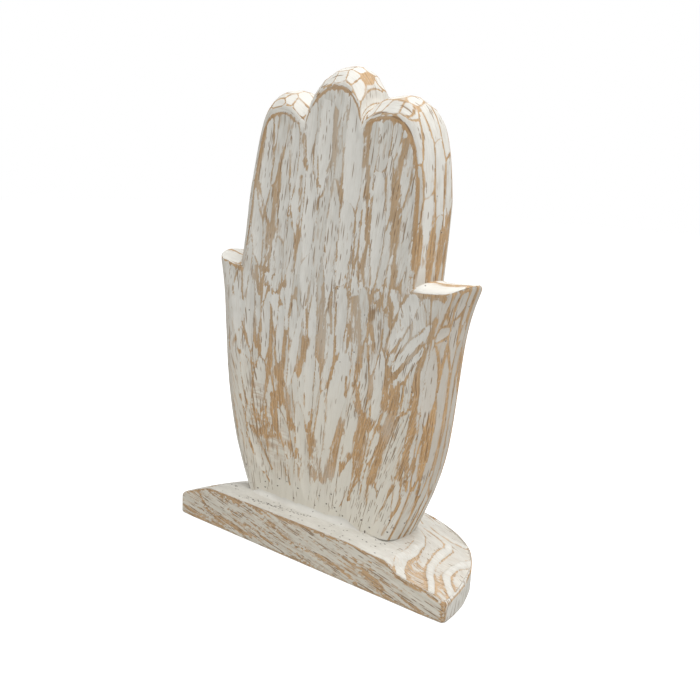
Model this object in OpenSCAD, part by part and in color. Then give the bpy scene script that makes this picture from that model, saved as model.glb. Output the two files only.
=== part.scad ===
// Whitewashed carved wooden hand standing on a half-moon base.
// The frame's origin is on the underside, at the middle of the part's box. +Z is up.
// The straight face of the base looks along -Y, and the curved edge along +Y.

/* [Base] */
// Length of the straight face
base_len = 190; // [176:1:230]
// Depth from the straight face to the crown of the curve
base_depth = 90; // [82:1:110]
// Height of the flat land that carries the hand
base_h = 21.5; // [18:0.5:32]
// Height of the rim along the curve
rim_h = 12; // [6:0.5:16]
// Width of the ledge between the straight face and the hand
ledge_w = 15.5; // [10:0.5:20]
// Level strip kept around the foot of the hand before the top slopes away
land_margin = 0.5; // [0:0.5:4]

/* [Hand] */
// Thickness of the board
hand_th = 27; // [24:0.5:34]
// Height from the foot to the top of the middle finger
hand_h = 231.5; // [200:0.5:270]
// How far the clefts between the fingers lie below that top
cleft_drop = 19.5; // [16:0.5:24]
// Width of the middle finger between its clefts
middle_w = 36.5; // [30:0.5:44]
// Sideways place of the middle finger's top
middle_x = 3; // [-6:0.5:6]
// Distance between the tops of the outer fingers
finger_span = 68.5; // [60:0.5:80]

/* [Left side of the hand, towards -X] */
// Distance from the centre line to the foot's corner
left_foot_x = 56; // [45:0.5:60]
// How far the outer finger's top lies below the middle finger's
left_drop = 11; // [8:0.5:15]
// Reach of the thumb's tip from the centre line
left_reach = 85.5; // [76:0.5:88]
// Height of the thumb's tip above the foot
left_tip_h = 134.5; // [126:0.5:140]
// Distance from the centre line to the notch beside the fingers
left_notch_x = 67; // [58:0.5:68]
// Height of that notch above the foot
left_notch_h = 131.5; // [116:0.5:133]
// Outward lean of the thumb's outer edge at its tip, in degrees
left_flare = 13; // [0:1:50]
// Inward lean of the fingers' outer side above the notch, in degrees
left_lean = 9; // [-6:0.5:10]

/* [Right side of the hand, towards +X] */
// Distance from the centre line to the foot's corner
right_foot_x = 51; // [45:0.5:60]
// How far the outer finger's top lies below the middle finger's
right_drop = 14; // [8:0.5:15]
// Reach of the thumb's tip from the centre line
right_reach = 81.5; // [76:0.5:88]
// Height of the thumb's tip above the foot
right_tip_h = 133; // [124:0.5:140]
// Distance from the centre line to the notch beside the fingers
right_notch_x = 58; // [54:0.5:66]
// Height of that notch above the foot
right_notch_h = 132; // [116:0.5:133]
// Outward lean of the thumb's outer edge at its tip, in degrees
right_flare = 21; // [0:1:50]
// Inward lean of the fingers' outer side above the notch, in degrees
right_lean = -5.5; // [-6:0.5:10]

/* [Rounded edges] */
// How far the flat faces stay inside the outline at the foot
foot_inset = 6; // [2:0.5:8]
// How far they stay inside it at the thumbs' tips
thumb_inset = 7.5; // [3:0.5:10]
// How far they stay below the scoops on top of the thumbs
scoop_inset = 5; // [1:0.5:7]
// How far they stay inside the outline along the outer fingers
side_inset = 5.5; // [2:0.5:8]
// How far they stay below it along the fingertips
tip_inset = 11.5; // [4:0.5:12]

/* [Joint of hand and base] */
// Diameter of the two dowels
dowel_d = 8; // [6:0.5:10]
// Length of a dowel
dowel_len = 30; // [24:1:40]
// How deep a dowel stands in the base
dowel_in_base = 12; // [8:0.5:15]
// Distance between the dowels
dowel_span = 66; // [56:1:72]
// Diameter of the two screws
screw_d = 4; // [3:0.5:5]
// Length of a screw below its head
screw_len = 36; // [28:1:45]
// Diameter of a screw's head
screw_head_d = 8; // [7:0.5:10]
// Height of a screw's head
screw_head_h = 2.6; // [2:0.1:4]
// Distance between the screws
screw_span = 30; // [24:1:36]
// Depth of the counterbore that hides a screw's head
counterbore_depth = 6; // [4:0.5:8]
// Leg of the filler in the corner between hand and base
filler_leg = 4; // [2:0.5:6]
// How far the rear filler stops short of the foot's right corner
filler_gap = 14; // [0:1:30]

/* [Hidden] */

// Radial clearance of dowels and screws in their holes, and of a head in its counterbore
hole_clearance = 0.1;
head_clearance = 1;
// Free space above a dowel or a screw's point at the end of its hole
end_clearance = 1;
// Cuts run past the faces that they open by this much
cut_past = 1;

// The base is a disc sawn a little short of its centre line
base_r = (pow(base_len / 2, 2) / base_depth + base_depth) / 2;
rear_y = -base_depth / 2;
disc_y = base_depth / 2 - base_r;
hand_rear_y = rear_y + ledge_w;
hand_front_y = hand_rear_y + hand_th;
hand_mid_y = (hand_rear_y + hand_front_y) / 2;
left_face_x = left_foot_x - foot_inset;
right_face_x = right_foot_x - foot_inset;
// The level land reaches past every point of the foot's rounded front corners
foot_r = max([
    for (turn = [0 : 5 : 90])
        norm([max(left_foot_x, right_foot_x) - foot_inset * (1 - cos(turn)),
              hand_mid_y + hand_th / 2 * sin(turn) - disc_y])
]);
land_r = foot_r + land_margin;
// Half of the level land's width where the filler in front of the hand has its outer edge
front_land_half = sqrt(pow(land_r, 2) - pow(hand_front_y + filler_leg - disc_y, 2));
rim_chamfer = 2;
// Thickness of the filler at its two thin edges
filler_edge = 0.4;
// Chamfer on both ends of a dowel
dowel_chamfer = 1;
// Point of a screw, and the cross recess in its head
point_len = 6;
recess_len = 4.4;
recess_w = 1;
recess_depth = 1.4;

// Curve handles, as shares of the distance between the two ends of a curve
palm_handle = 0.46;
thumb_handle = 0.36;
scoop_handle = 0.4;
side_handle = 0.89;
shoulder_handle = 0.58;
cleft_handle = 0.45;
round_handle = 0.5523;
// Directions of curves, in degrees: the palm's side at the foot, the scoop at its two ends, the cleft
palm_flare = 27.5;
scoop_tip_dip = 5;
scoop_notch_dip = 3.5;
cleft_rise = 30;
// Points on each curve of the outline, and steps from the middle of the board to a face
curve_steps = 12;
round_steps = 5;

wood_white = [0.84, 0.82, 0.77];
base_white = [0.82, 0.79, 0.73];
filler_white = [0.93, 0.92, 0.89];
dowel_tan = [0.72, 0.55, 0.36];
steel_grey = [0.62, 0.62, 0.60];

function toward(angle) = [sin(angle), cos(angle)];
function cubic(a, b, c, d) = [
    for (i = [0 : curve_steps - 1])
        let (t = i / curve_steps, s = 1 - t)
            s * s * s * a + 3 * s * s * t * b + 3 * s * t * t * c + t * t * t * d
];

// Half of the hand's outline as [x, height], from the foot to just before the middle finger's top.
// inset is 0 at the widest outline, in the middle of the board, and 1 at the flat faces.
function half_outline(foot_x, drop, reach, tip_h, notch_x, notch_h, flare, lean, top_x, inset) =
    let (
        foot = [foot_x - foot_inset * inset, 0],
        tip = [reach - thumb_inset * inset, tip_h - scoop_inset * inset],
        notch = [notch_x - side_inset * inset, notch_h - scoop_inset * inset],
        finger = [finger_span / 2, hand_h - drop - tip_inset * inset],
        cleft = [middle_w / 2, hand_h - cleft_drop - tip_inset * inset],
        top = [top_x, hand_h - tip_inset * inset],
        palm_l = norm(tip - foot),
        scoop_l = norm(tip - notch),
        side_l = norm(finger - notch),
        shoulder = [notch.x - finger.x, 0],
        slope_l = finger.x - cleft.x,
        crown = top - cleft
    )
    concat(
        cubic(foot, foot + palm_handle * palm_l * toward(palm_flare),
              tip - thumb_handle * palm_l * toward(flare), tip),
        cubic(tip, tip - scoop_handle * scoop_l * toward(90 - scoop_tip_dip),
              notch + scoop_handle * scoop_l * toward(90 + scoop_notch_dip), notch),
        cubic(notch, notch + side_handle * side_l * toward(-lean),
              finger + shoulder_handle * shoulder, finger),
        cubic(finger, finger - [cleft_handle * slope_l, 0],
              cleft + cleft_handle * slope_l * toward(90 - cleft_rise), cleft),
        cubic(cleft, cleft + [0, round_handle * crown.y],
              top - [round_handle * crown.x, 0], top)
    );

function mirrored(points) = [for (i = [len(points) - 1 : -1 : 0]) [-points[i].x, points[i].y]];

// Whole outline: from the foot's right corner over the fingers to its left corner.
function outline(inset) =
    let (
        right = half_outline(right_foot_x, right_drop, right_reach, right_tip_h, right_notch_x, right_notch_h,
                             right_flare, right_lean, middle_x, inset),
        left = half_outline(left_foot_x, left_drop, left_reach, left_tip_h, left_notch_x, left_notch_h,
                            left_flare, left_lean, -middle_x, inset),
        top = [[middle_x, hand_h - tip_inset * inset]]
    )
    concat(right, top, mirrored(left));

// One ring of points round the board. turn is -90 at the rear face, 0 in the middle and 90 at the front face,
// so each edge is an elliptic rounding over half of the thickness.
function ring(turn) = [
    for (p = outline(1 - cos(turn)))
        [p.x, hand_mid_y + hand_th / 2 * sin(turn), base_h + p.y]
];

module hand_board() {
    rings = [for (i = [-round_steps : round_steps]) ring(90 * i / round_steps)];
    count = len(rings[0]);
    last = len(rings) - 1;
    walls = [
        for (j = [0 : last - 1], i = [0 : count - 1])
            let (a = j * count + i, b = j * count + (i + 1) % count)
                each [[a, a + count, b], [b, a + count, b + count]]
    ];
    rear = [for (i = [0 : count - 1]) i];
    front = [for (i = [count - 1 : -1 : 0]) last * count + i];
    polyhedron(points = [for (r = rings) each r], faces = concat(walls, [rear, front]));
}

module at_pair(span) {
    for (side = [-1, 1])
        translate([side * span / 2, hand_mid_y, 0]) children();
}

module dowel_holes() {
    at_pair(dowel_span)
        translate([0, 0, base_h - dowel_in_base])
            cylinder(d = dowel_d + 2 * hole_clearance, h = dowel_len + end_clearance, $fn = 48);
}

module screw_holes() {
    at_pair(screw_span)
        translate([0, 0, counterbore_depth - cut_past])
            cylinder(d = screw_d + 2 * hole_clearance, h = screw_len + end_clearance + cut_past, $fn = 48);
}

module carved_hand() {
    color(wood_white)
        difference() {
            hand_board();
            dowel_holes();
            screw_holes();
        }
}

// Section of the disc from its axis to the rim: a level land, then a slope down to the rim.
base_section = [
    [0, 0], [base_r, 0], [base_r, rim_h - rim_chamfer], [base_r - rim_chamfer, rim_h],
    [land_r, base_h], [0, base_h]
];

module half_moon_base() {
    color(base_white)
        difference() {
            translate([0, disc_y, 0])
                rotate_extrude($fn = 180) polygon(base_section);
            translate([-base_r - cut_past, disc_y - base_r - cut_past, -cut_past])
                cube([2 * (base_r + cut_past), rear_y - disc_y + base_r + cut_past, base_h + 2 * cut_past]);
            dowel_holes();
            screw_holes();
            at_pair(screw_span)
                translate([0, 0, -cut_past])
                    cylinder(d = screw_head_d + 2 * head_clearance, h = counterbore_depth + cut_past, $fn = 48);
        }
}

// Filler with a hollow front, along the foot and against one face of the hand, from start to end along X.
module filler_strip(start, end) {
    color(filler_white)
        translate([start, 0, base_h])
            rotate([90, 0, 90])
                linear_extrude(end - start)
                    difference() {
                        square(filler_leg);
                        translate([filler_leg, filler_leg])
                            circle(r = filler_leg - filler_edge, $fn = 64);
                        translate([filler_leg, filler_edge]) square(filler_leg);
                        translate([filler_edge, filler_leg]) square(filler_leg);
                    }
}

module seam_filler_rear() {
    translate([0, hand_rear_y, 0])
        mirror([0, 1, 0])
            filler_strip(-left_face_x, right_face_x - filler_gap);
}

// This one ends at the foot's corners too, or where the level land does.
module seam_filler_front() {
    translate([0, hand_front_y, 0])
        filler_strip(-min(left_face_x, front_land_half), min(right_face_x, front_land_half));
}

module dowel(side) {
    color(dowel_tan)
        translate([side * dowel_span / 2, hand_mid_y, base_h - dowel_in_base])
            rotate_extrude($fn = 48)
                polygon([[0, 0], [dowel_d / 2 - dowel_chamfer, 0], [dowel_d / 2, dowel_chamfer],
                         [dowel_d / 2, dowel_len - dowel_chamfer],
                         [dowel_d / 2 - dowel_chamfer, dowel_len], [0, dowel_len]]);
}

module dowel_left() { dowel(-1); }
module dowel_right() { dowel(1); }

// Pan head below, shank and point above, with a cross recess in the head.
module screw(side) {
    color(steel_grey)
        translate([side * screw_span / 2, hand_mid_y, counterbore_depth])
            difference() {
                rotate_extrude($fn = 48)
                    polygon([[0, -screw_head_h], [screw_head_d / 2 - screw_head_h / 2, -screw_head_h],
                             [screw_head_d / 2, -screw_head_h / 2], [screw_head_d / 2, 0], [screw_d / 2, 0],
                             [screw_d / 2, screw_len - point_len], [0, screw_len]]);
                for (turn = [0, 90])
                    rotate([0, 0, turn])
                        translate([-recess_len / 2, -recess_w / 2, -screw_head_h - cut_past])
                            cube([recess_len, recess_w, recess_depth + cut_past]);
            }
}

module screw_left() { screw(-1); }
module screw_right() { screw(1); }

carved_hand();
half_moon_base();
seam_filler_rear();
seam_filler_front();
dowel_left();
dowel_right();
screw_left();
screw_right();
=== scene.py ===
"""Looks of a whitewashed carved wooden hand on a half-moon base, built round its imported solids.

Shapes are worked out in millimetres in the part's own frame, and meshes are made in metres.
"""

import math
from itertools import product
from types import SimpleNamespace

import bpy
import numpy as np
from mathutils import Matrix, Vector
from mathutils.geometry import delaunay_2d_cdt
from mathutils.kdtree import KDTree


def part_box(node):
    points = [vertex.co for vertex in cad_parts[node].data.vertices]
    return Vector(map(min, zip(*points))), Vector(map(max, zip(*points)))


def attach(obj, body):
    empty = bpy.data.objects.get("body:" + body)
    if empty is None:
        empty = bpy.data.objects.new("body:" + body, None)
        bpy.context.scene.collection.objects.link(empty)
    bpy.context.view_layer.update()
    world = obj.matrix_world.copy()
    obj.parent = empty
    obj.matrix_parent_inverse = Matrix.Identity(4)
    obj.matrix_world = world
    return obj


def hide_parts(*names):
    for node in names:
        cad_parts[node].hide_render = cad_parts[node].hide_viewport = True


MM = 0.001

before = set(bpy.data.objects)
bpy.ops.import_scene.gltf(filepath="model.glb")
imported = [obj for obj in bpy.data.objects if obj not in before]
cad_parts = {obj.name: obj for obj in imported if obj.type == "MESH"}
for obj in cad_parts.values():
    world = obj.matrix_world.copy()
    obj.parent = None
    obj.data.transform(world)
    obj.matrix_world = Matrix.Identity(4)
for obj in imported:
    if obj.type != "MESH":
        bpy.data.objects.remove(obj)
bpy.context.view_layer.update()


def box_mm(node):
    """Lowest and highest corner of a CAD node, in millimetres."""
    return [np.array(corner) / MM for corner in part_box(node)]


hand_low, hand_high = box_mm("carved_hand")
base_low, base_high = box_mm("half_moon_base")

# Hand: sizes of the outline, as in the solid
HAND_TH = hand_high[1] - hand_low[1]
HAND_MID_Y = (hand_low[1] + hand_high[1]) / 2
FOOT_Z = hand_low[2]
HAND_H = hand_high[2] - hand_low[2]
CLEFT_DROP = 19.5
MIDDLE_W = 36.5
MIDDLE_X = 3.0
FINGER_SPAN = 68.5
LEFT = SimpleNamespace(
    top_x=-MIDDLE_X, foot_x=56.0, drop=11.0, reach=85.5, tip_h=134.5, notch_x=67.0, notch_h=131.5,
    flare=13.0, lean=9.0)
RIGHT = SimpleNamespace(
    top_x=MIDDLE_X, foot_x=51.0, drop=14.0, reach=81.5, tip_h=133.0, notch_x=58.0, notch_h=132.0,
    flare=21.0, lean=-5.5)

# How far each part of the outline draws in over the rounded edge, the lengths of its curves' handles as
# shares of their chords, and the directions of the curves' ends in degrees
INSET = SimpleNamespace(foot=6.0, thumb=7.5, scoop=5.0, side=5.5, tip=11.5)
HANDLE = SimpleNamespace(palm=0.46, thumb=0.36, scoop=0.4, side=0.89, shoulder=0.58, cleft=0.45, round=0.5523)
PALM_FLARE = 27.5
SCOOP_TIP_DIP = 5.0
SCOOP_NOTCH_DIP = 3.5
CLEFT_RISE = 30.0

# Base: the disc that it is sawn from, its level land and its rim
BASE_LEN = base_high[0] - base_low[0]
BASE_DEPTH = base_high[1] - base_low[1]
BASE_R = ((BASE_LEN / 2) ** 2 / BASE_DEPTH + BASE_DEPTH) / 2
DISC_Y = base_high[1] - BASE_R
LAND_R = 70.6
LAND_Z = FOOT_Z
RIM_Z = 12.0
RIM_EDGE = 2.0

# Dowels and screws, and the parts of a screw that its box doesn't give
SIDES = ("left", "right")
HOLE_CLEARANCE = 0.1
END_CLEARANCE = 1.0
HEAD_CLEARANCE = 1.0
SCREW_R = 2.0
HEAD_H = 2.6
BORE_POINTS = 28

# Fineness of the meshes: the rounded edge, the photographed face, the other face, the base
EDGE_STEP = 0.75
REAR_STEP = 0.95
FRONT_STEP = 1.25
BASE_STEP = 0.65


# Numbers and noise

def smooth_step(low, high, value):
    """0 below low, 1 above high, and a smooth rise between them."""
    share = np.clip((value - low) / (high - low), 0, 1)
    return share * share * (3 - 2 * share)


def smooth_drop(low, high, value):
    """1 below low, 0 above high, and a smooth fall between them."""
    return 1 - smooth_step(low, high, value)


def bell(offset, width):
    """1 where offset is 0, falling away on both sides of it over about width."""
    return np.exp(-(offset / width) ** 2)


def blend(share, full, none):
    """The value full where share is 1, none where it is 0, and a mix between them."""
    return share * full + (1 - share) * none


def unit(vectors):
    """Vectors made one long; those without a length stay as they are."""
    return vectors / np.maximum(np.linalg.norm(vectors, axis=-1, keepdims=True), 1e-9)


def toward(angle):
    """Unit vector at an angle from up towards the right, in degrees."""
    return np.array([math.sin(math.radians(angle)), math.cos(math.radians(angle))])


# Large odd numbers that scramble a cell's place and a seed, and the bits that are kept of the result
CELL_MIX = (73856093, 19349663, 83492791)
SEED_MIX = 2654435761
LAST_MIX = 1274126177
KEPT_BITS = 0xFFFFFF


def lattice(cells, seed):
    """A fixed random number from 0 to 1 for each whole-number cell."""
    mixed = np.bitwise_xor.reduce(cells.astype(np.int64) * CELL_MIX, axis=1) ^ (seed * SEED_MIX)
    mixed = (mixed ^ (mixed >> 13)) * LAST_MIX
    mixed = mixed ^ (mixed >> 16)
    return (mixed & KEPT_BITS) / KEPT_BITS


def lumps(points, size, seed):
    """Smooth noise from 0 to 1 whose lumps are about size mm apart; size may differ by axis."""
    cells = points / np.broadcast_to(np.asarray(size, float), (3,))
    corner = np.floor(cells)
    share = cells - corner
    share = share * share * (3 - 2 * share)
    total = np.zeros(len(points))
    for offset in product((0, 1), repeat=3):
        weight = np.prod(np.where(offset, share, 1 - share), axis=1)
        total += weight * lattice(corner + offset, seed)
    return total


# Noise by its use: the size of its lumps in mm, along each axis or all alike, and a seed
STROKE_PATCHES = (17, 1, 42), 11
HAND_LIVELY = (16, 16, 34), 3
HAND_SMEAR = (19, 19, 14), 8
STREAK_BREAKS = (3, 3, 8), 14
SPECK_PATCHES = (17, 17, 30), 15
HAIR_PATCHES = (18, 18, 40), 16
EDGE_STREAKS = (3, 1, 24), 17
FILM_PATCHES = (11, 11, 20), 18
BASE_LIVELY = (26, 20, 9), 4
STRAIGHT_PATCHES = (24, 1, 5), 5
END_PATCHES = 9, 6
LINE_PATCHES = 11, 9
RING_WANDER = (34, 26, 42), 31
RING_WAVER = (14, 11, 15), 32
BAND_STRAYS = (9, 33), (9, 34)
FILLER_OUT_WAVER = 7, 52
FILLER_UP_WAVER = 9, 51
FILLER_TONE = 12, 53


def patches(points, noise, low, high):
    """Random patches: 0 where the noise is below low, 1 where it is above high, and a smooth rise between."""
    return smooth_step(low, high, lumps(points, *noise))


def walked_along(points):
    """Distance walked along a line of points, up to each of them."""
    steps = np.linalg.norm(np.diff(points, axis=0), axis=1)
    return np.concatenate([[0], np.cumsum(steps)])


def line_gap(places, start, end):
    """Distance of 2-D places from the straight line between two points, in mm."""
    along = np.subtract(end, start)
    share = np.clip((places - start) @ along / (along @ along), 0, 1)
    return np.linalg.norm(places - start - share[:, None] * along, axis=1)


def path_gap(places, path):
    """Distance of 2-D places from a path of straight lines, in mm."""
    return np.min([line_gap(places, *ends) for ends in zip(path[:-1], path[1:])], axis=0)


# Meshes from points and faces

# A filling's inner points keep this share of their spacing clear of its edges
EDGE_CLEAR = 0.6
SHARP_ANGLE = 50.0


def inside(points, loop):
    """Which 2-D points lie inside a closed loop of 2-D points."""
    x, y = points.T
    result = np.zeros(len(points), bool)
    for (x0, y0), (x1, y1) in zip(loop, np.roll(loop, -1, axis=0)):
        if y0 != y1:
            crosses = (y0 > y) != (y1 > y)
            result ^= crosses & (x < (x1 - x0) * (y - y0) / (y1 - y0) + x0)
    return result


def nearest(points, targets):
    """Index of the nearest target to each point, and its distance. Points may be 2-D or 3-D."""
    flat = points.shape[1] == 2
    tree = KDTree(len(targets))
    for index, target in enumerate(targets):
        tree.insert((*target, 0.0) if flat else target, index)
    tree.balance()
    found = [tree.find((*p, 0.0) if flat else p)[1:] for p in points]
    return np.array([f[0] for f in found]), np.array([f[1] for f in found])


def grid_inside(loop, holes, step):
    """Staggered grid points inside loop and outside the holes, clear of their edges."""
    low, high = loop.min(0), loop.max(0)
    rows = np.arange(low[1], high[1], step)
    columns = np.arange(low[0], high[0], step)
    gx, gy = np.meshgrid(columns, rows)
    gx = gx + np.where(np.arange(len(rows)) % 2, step / 2, 0)[:, None]
    points = np.stack([gx.ravel(), gy.ravel()], -1)
    points = points[inside(points, loop)]
    for hole in holes:
        points = points[~inside(points, hole)]
    edges = np.concatenate([loop, *holes])
    return points[nearest(points, edges)[1] > EDGE_CLEAR * step]


def fill(loop, holes=(), step=None):
    """Triangles that fill a 2-D loop round its holes. Returns the inner points and the triangles, whose
    numbers count the loop's points first, then each hole's, then the inner points."""
    inner = grid_inside(loop, holes, step) if step else np.zeros((0, 2))
    rings = [loop, *holes]
    edges, start = [], 0
    for ring in rings:
        edges += [(start + i, start + (i + 1) % len(ring)) for i in range(len(ring))]
        start += len(ring)
    points = np.concatenate([*rings, inner])
    triangles = np.array(delaunay_2d_cdt([Vector(p) for p in points], edges, [], 1, 1e-7)[2])
    centres = points[triangles].mean(1)
    for hole in holes:
        outside = ~inside(centres, hole)
        triangles, centres = triangles[outside], centres[outside]
    return inner, triangles


class Shell:
    """Points and faces of one closed surface, put together patch by patch."""

    def __init__(self):
        self.blocks, self.faces, self.count = [], [], 0

    def add(self, points):
        """Adds points and returns their numbers."""
        numbers = np.arange(self.count, self.count + len(points))
        self.blocks.append(np.asarray(points, float))
        self.count += len(points)
        return numbers

    def level(self, flat, height):
        """Adds 2-D points at one height, or at a height each, and returns their numbers."""
        return self.add(np.column_stack([flat, np.broadcast_to(height, len(flat))]))

    def rows(self, points):
        """Adds a grid of points and returns the grid of their numbers."""
        return self.add(points.reshape(-1, 3)).reshape(points.shape[:2])

    def grid(self, numbers, closed=False):
        """Quads over a grid of point numbers; closed joins the last column to the first."""
        if closed:
            numbers = np.concatenate([numbers, numbers[:, :1]], axis=1)
        a, b = numbers[:-1, :-1], numbers[:-1, 1:]
        c, d = numbers[1:, 1:], numbers[1:, :-1]
        self.faces += np.stack([a, b, c, d], -1).reshape(-1, 4).tolist()

    def patch(self, numbers, triangles, flip=False):
        """Triangles whose corners count within numbers."""
        corners = numbers[triangles]
        self.faces += (corners[:, ::-1] if flip else corners).tolist()

    def fan(self, ring, flip=False):
        """One flat face that closes a ring."""
        self.faces.append(list(ring[::-1] if flip else ring))

    def points(self):
        """All points so far."""
        return np.concatenate(self.blocks)


def normals_of(points, faces):
    """Mean outward normal at each point."""
    result = np.zeros_like(points)
    for size in (3, 4):
        chosen = np.array([f for f in faces if len(f) == size])
        if len(chosen):
            corners = points[chosen]
            area = np.cross(corners[:, -1] - corners[:, 1], corners[:, 0] - corners[:, size // 2])
            for corner in range(size):
                np.add.at(result, chosen[:, corner], area)
    return unit(result)


def add_object(name, data):
    """A new object of the scene."""
    made = bpy.data.objects.new(name, data)
    bpy.context.scene.collection.objects.link(made)
    return made


def make_piece(name, points, faces, attributes, material, node):
    """A mesh object in metres that stands for a CAD node and rides on the part's one body.
    An attribute has a value for each point, or else one for each face corner."""
    mesh = bpy.data.meshes.new(name)
    mesh.from_pydata((points * MM).tolist(), [], faces)
    for key, values in attributes.items():
        domain = "POINT" if len(values) == len(points) else "CORNER"
        mesh.attributes.new(key, "FLOAT", domain).data.foreach_set("value", values.astype(np.float32))
    mesh.shade_smooth()
    mesh.set_sharp_from_angle(angle=math.radians(SHARP_ANGLE))
    mesh.materials.append(material)
    piece = add_object(name, mesh)
    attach(piece, "root")
    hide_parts(node)


# Carving

# A distance beyond all others, and the farthest that a ridge is told from, in mm
FAR = 99.0
RIDGE_MAX = 4.0

# A ridge is blunt where its two cuts meet less steeply than the first slope, and sharp over the second
RIDGE_SLOPES = (0.05, 0.13)
LEAST_SLOPE = 0.04

# A lens-shaped cut is worked out over this many times its own area, to be a runner-up beyond its rim too
LENS_REACH = 2.0

# A facet cuts no deeper than as if the surface faced it by this share
LEAST_FACING = 0.4


def face_corners(faces):
    """Point number of each face corner in turn, and each face's number of corners."""
    return np.concatenate([np.asarray(f) for f in faces]), np.array([len(f) for f in faces])


def lens(u, v, along, across, half_len, half_width, depth):
    """A lens-shaped hollow, at places counted from its middle in half lengths and half widths: how deep it is
    there, and the slope of that depth."""
    fall = (u / half_len)[:, None] * along + (v / half_width)[:, None] * across
    return depth * (1 - u * u - v * v), -2 * depth * fall


class Carving:
    """Cuts into a surface. The deepest cut wins at each point, and the runner-up tells how far away the ridge
    between the two is."""

    def __init__(self, points, normals):
        count = len(points)
        self.points, self.normals = points, normals
        self.depth = np.zeros(count)
        self.slope = np.zeros((count, 3))
        self.next_depth = np.full(count, -FAR)
        self.next_slope = np.zeros((count, 3))
        self.winner = np.zeros(count, int)
        self.tones, self.bares = [0.5], [0.0]

    def cut(self, where, depth, slope, tone, bare):
        """One cut at the points numbered where: its depth in mm, and that depth's slope along the surface."""
        wins = depth > self.depth[where]
        second = ~wins & (depth > self.next_depth[where])
        won, lost = where[wins], where[second]
        self.next_depth[won], self.next_slope[won] = self.depth[won], self.slope[won]
        self.depth[won], self.slope[won] = depth[wins], slope[wins]
        self.next_depth[lost], self.next_slope[lost] = depth[second], slope[second]
        self.winner[won] = len(self.tones)
        self.tones.append(tone)
        self.bares.append(bare)

    def plane(self, where, point, normal, sink, tone, bare=0.0, lift=0.0, share=1.0):
        """A flat facet: its plane lies sink below a point, and bends up by lift. A share of it is cut."""
        facing = self.normals[where] @ normal
        depth = (self.points[where] - point) @ normal + sink - lift
        depth *= share / np.maximum(facing, LEAST_FACING)
        self.cut(where, depth, normal - self.normals[where] * facing[:, None], tone, bare)

    def steepness(self):
        """How sharply the two deepest cuts meet at their ridge."""
        return np.linalg.norm(self.slope - self.next_slope, axis=1)

    def bluntness(self):
        """1 where the nearest ridge is too blunt to be rubbed through its paint, 0 where it is sharp."""
        return smooth_drop(*RIDGE_SLOPES, self.steepness())

    def corner_fields(self, faces):
        """For each corner of each face: the distance in mm to the nearest ridge, which is negative on the far
        side of a ridge that crosses the face, and the tone and bareness of the cuts on the two sides."""
        flat, counts = face_corners(faces)
        starts = np.concatenate([[0], np.cumsum(counts)[:-1]])
        ridge = (self.depth - self.next_depth) / np.maximum(self.steepness(), LEAST_SLOPE)
        ridge = np.clip(ridge, 0, RIDGE_MAX)
        winner = self.winner[flat]
        near = np.repeat(winner[starts], counts)
        far = np.maximum.reduceat(np.where(winner == near, -1, winner), starts)
        far = np.repeat(far, counts)
        far = np.where(far < 0, near, far)
        tones, bares = np.array(self.tones), np.array(self.bares)
        return {
            "ridge": np.where(winner == near, ridge[flat], -ridge[flat]),
            "tone_near": tones[near], "tone_far": tones[far],
            "bare_near": bares[near], "bare_far": bares[far],
        }

    def carved(self):
        """The points, moved in by the depth of the cuts."""
        return self.points - self.normals * self.depth[:, None]


class Flat:
    """The part of a carved surface that lies on or near a plane, where gouge strokes are cut."""

    REACH = 1.6
    FACING = 0.5

    def __init__(self, carving, origin, right, up, strength=None):
        self.carving = carving
        self.axes = np.array([right, up], float)
        out = np.cross(right, up)
        local = carving.points - np.array(origin, float)
        behind, facing = -local @ out, carving.normals @ out
        self.where = np.flatnonzero((facing > self.FACING) & (behind < self.REACH))
        self.flat = local[self.where] @ self.axes.T
        self.behind, self.facing = behind[self.where], facing[self.where]
        self.strength = np.ones(len(self.where)) if strength is None else strength[self.where]

    def stroke(self, centre, lean, half_len, half_width, depth, tone, bare):
        """A lens-shaped gouge cut, deepest in its middle. lean is from up towards right, in degrees."""
        along = toward(lean)
        across = np.array([along[1], -along[0]])
        local = self.flat - np.asarray(centre, float)
        u, v = local @ along / half_len, local @ across / half_width
        close = u * u + v * v < LENS_REACH
        cut, slope = lens(
            u[close], v[close], along @ self.axes, across @ self.axes, half_len, half_width, depth)
        strength = self.strength[close]
        cut = (cut * strength - self.behind[close]) / self.facing[close]
        self.carving.cut(self.where[close], cut, slope * strength[:, None], tone, bare)


# Outline of the hand

CURVE_SAMPLES = 300
TURN_SAMPLES = 721

# The edge's inset at a typical place, and the rounding of a thumb's tip: points on each side, and passes
TYPICAL_INSET = 7.0
ROUND_REACH = 9
ROUND_PASSES = 22


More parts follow.
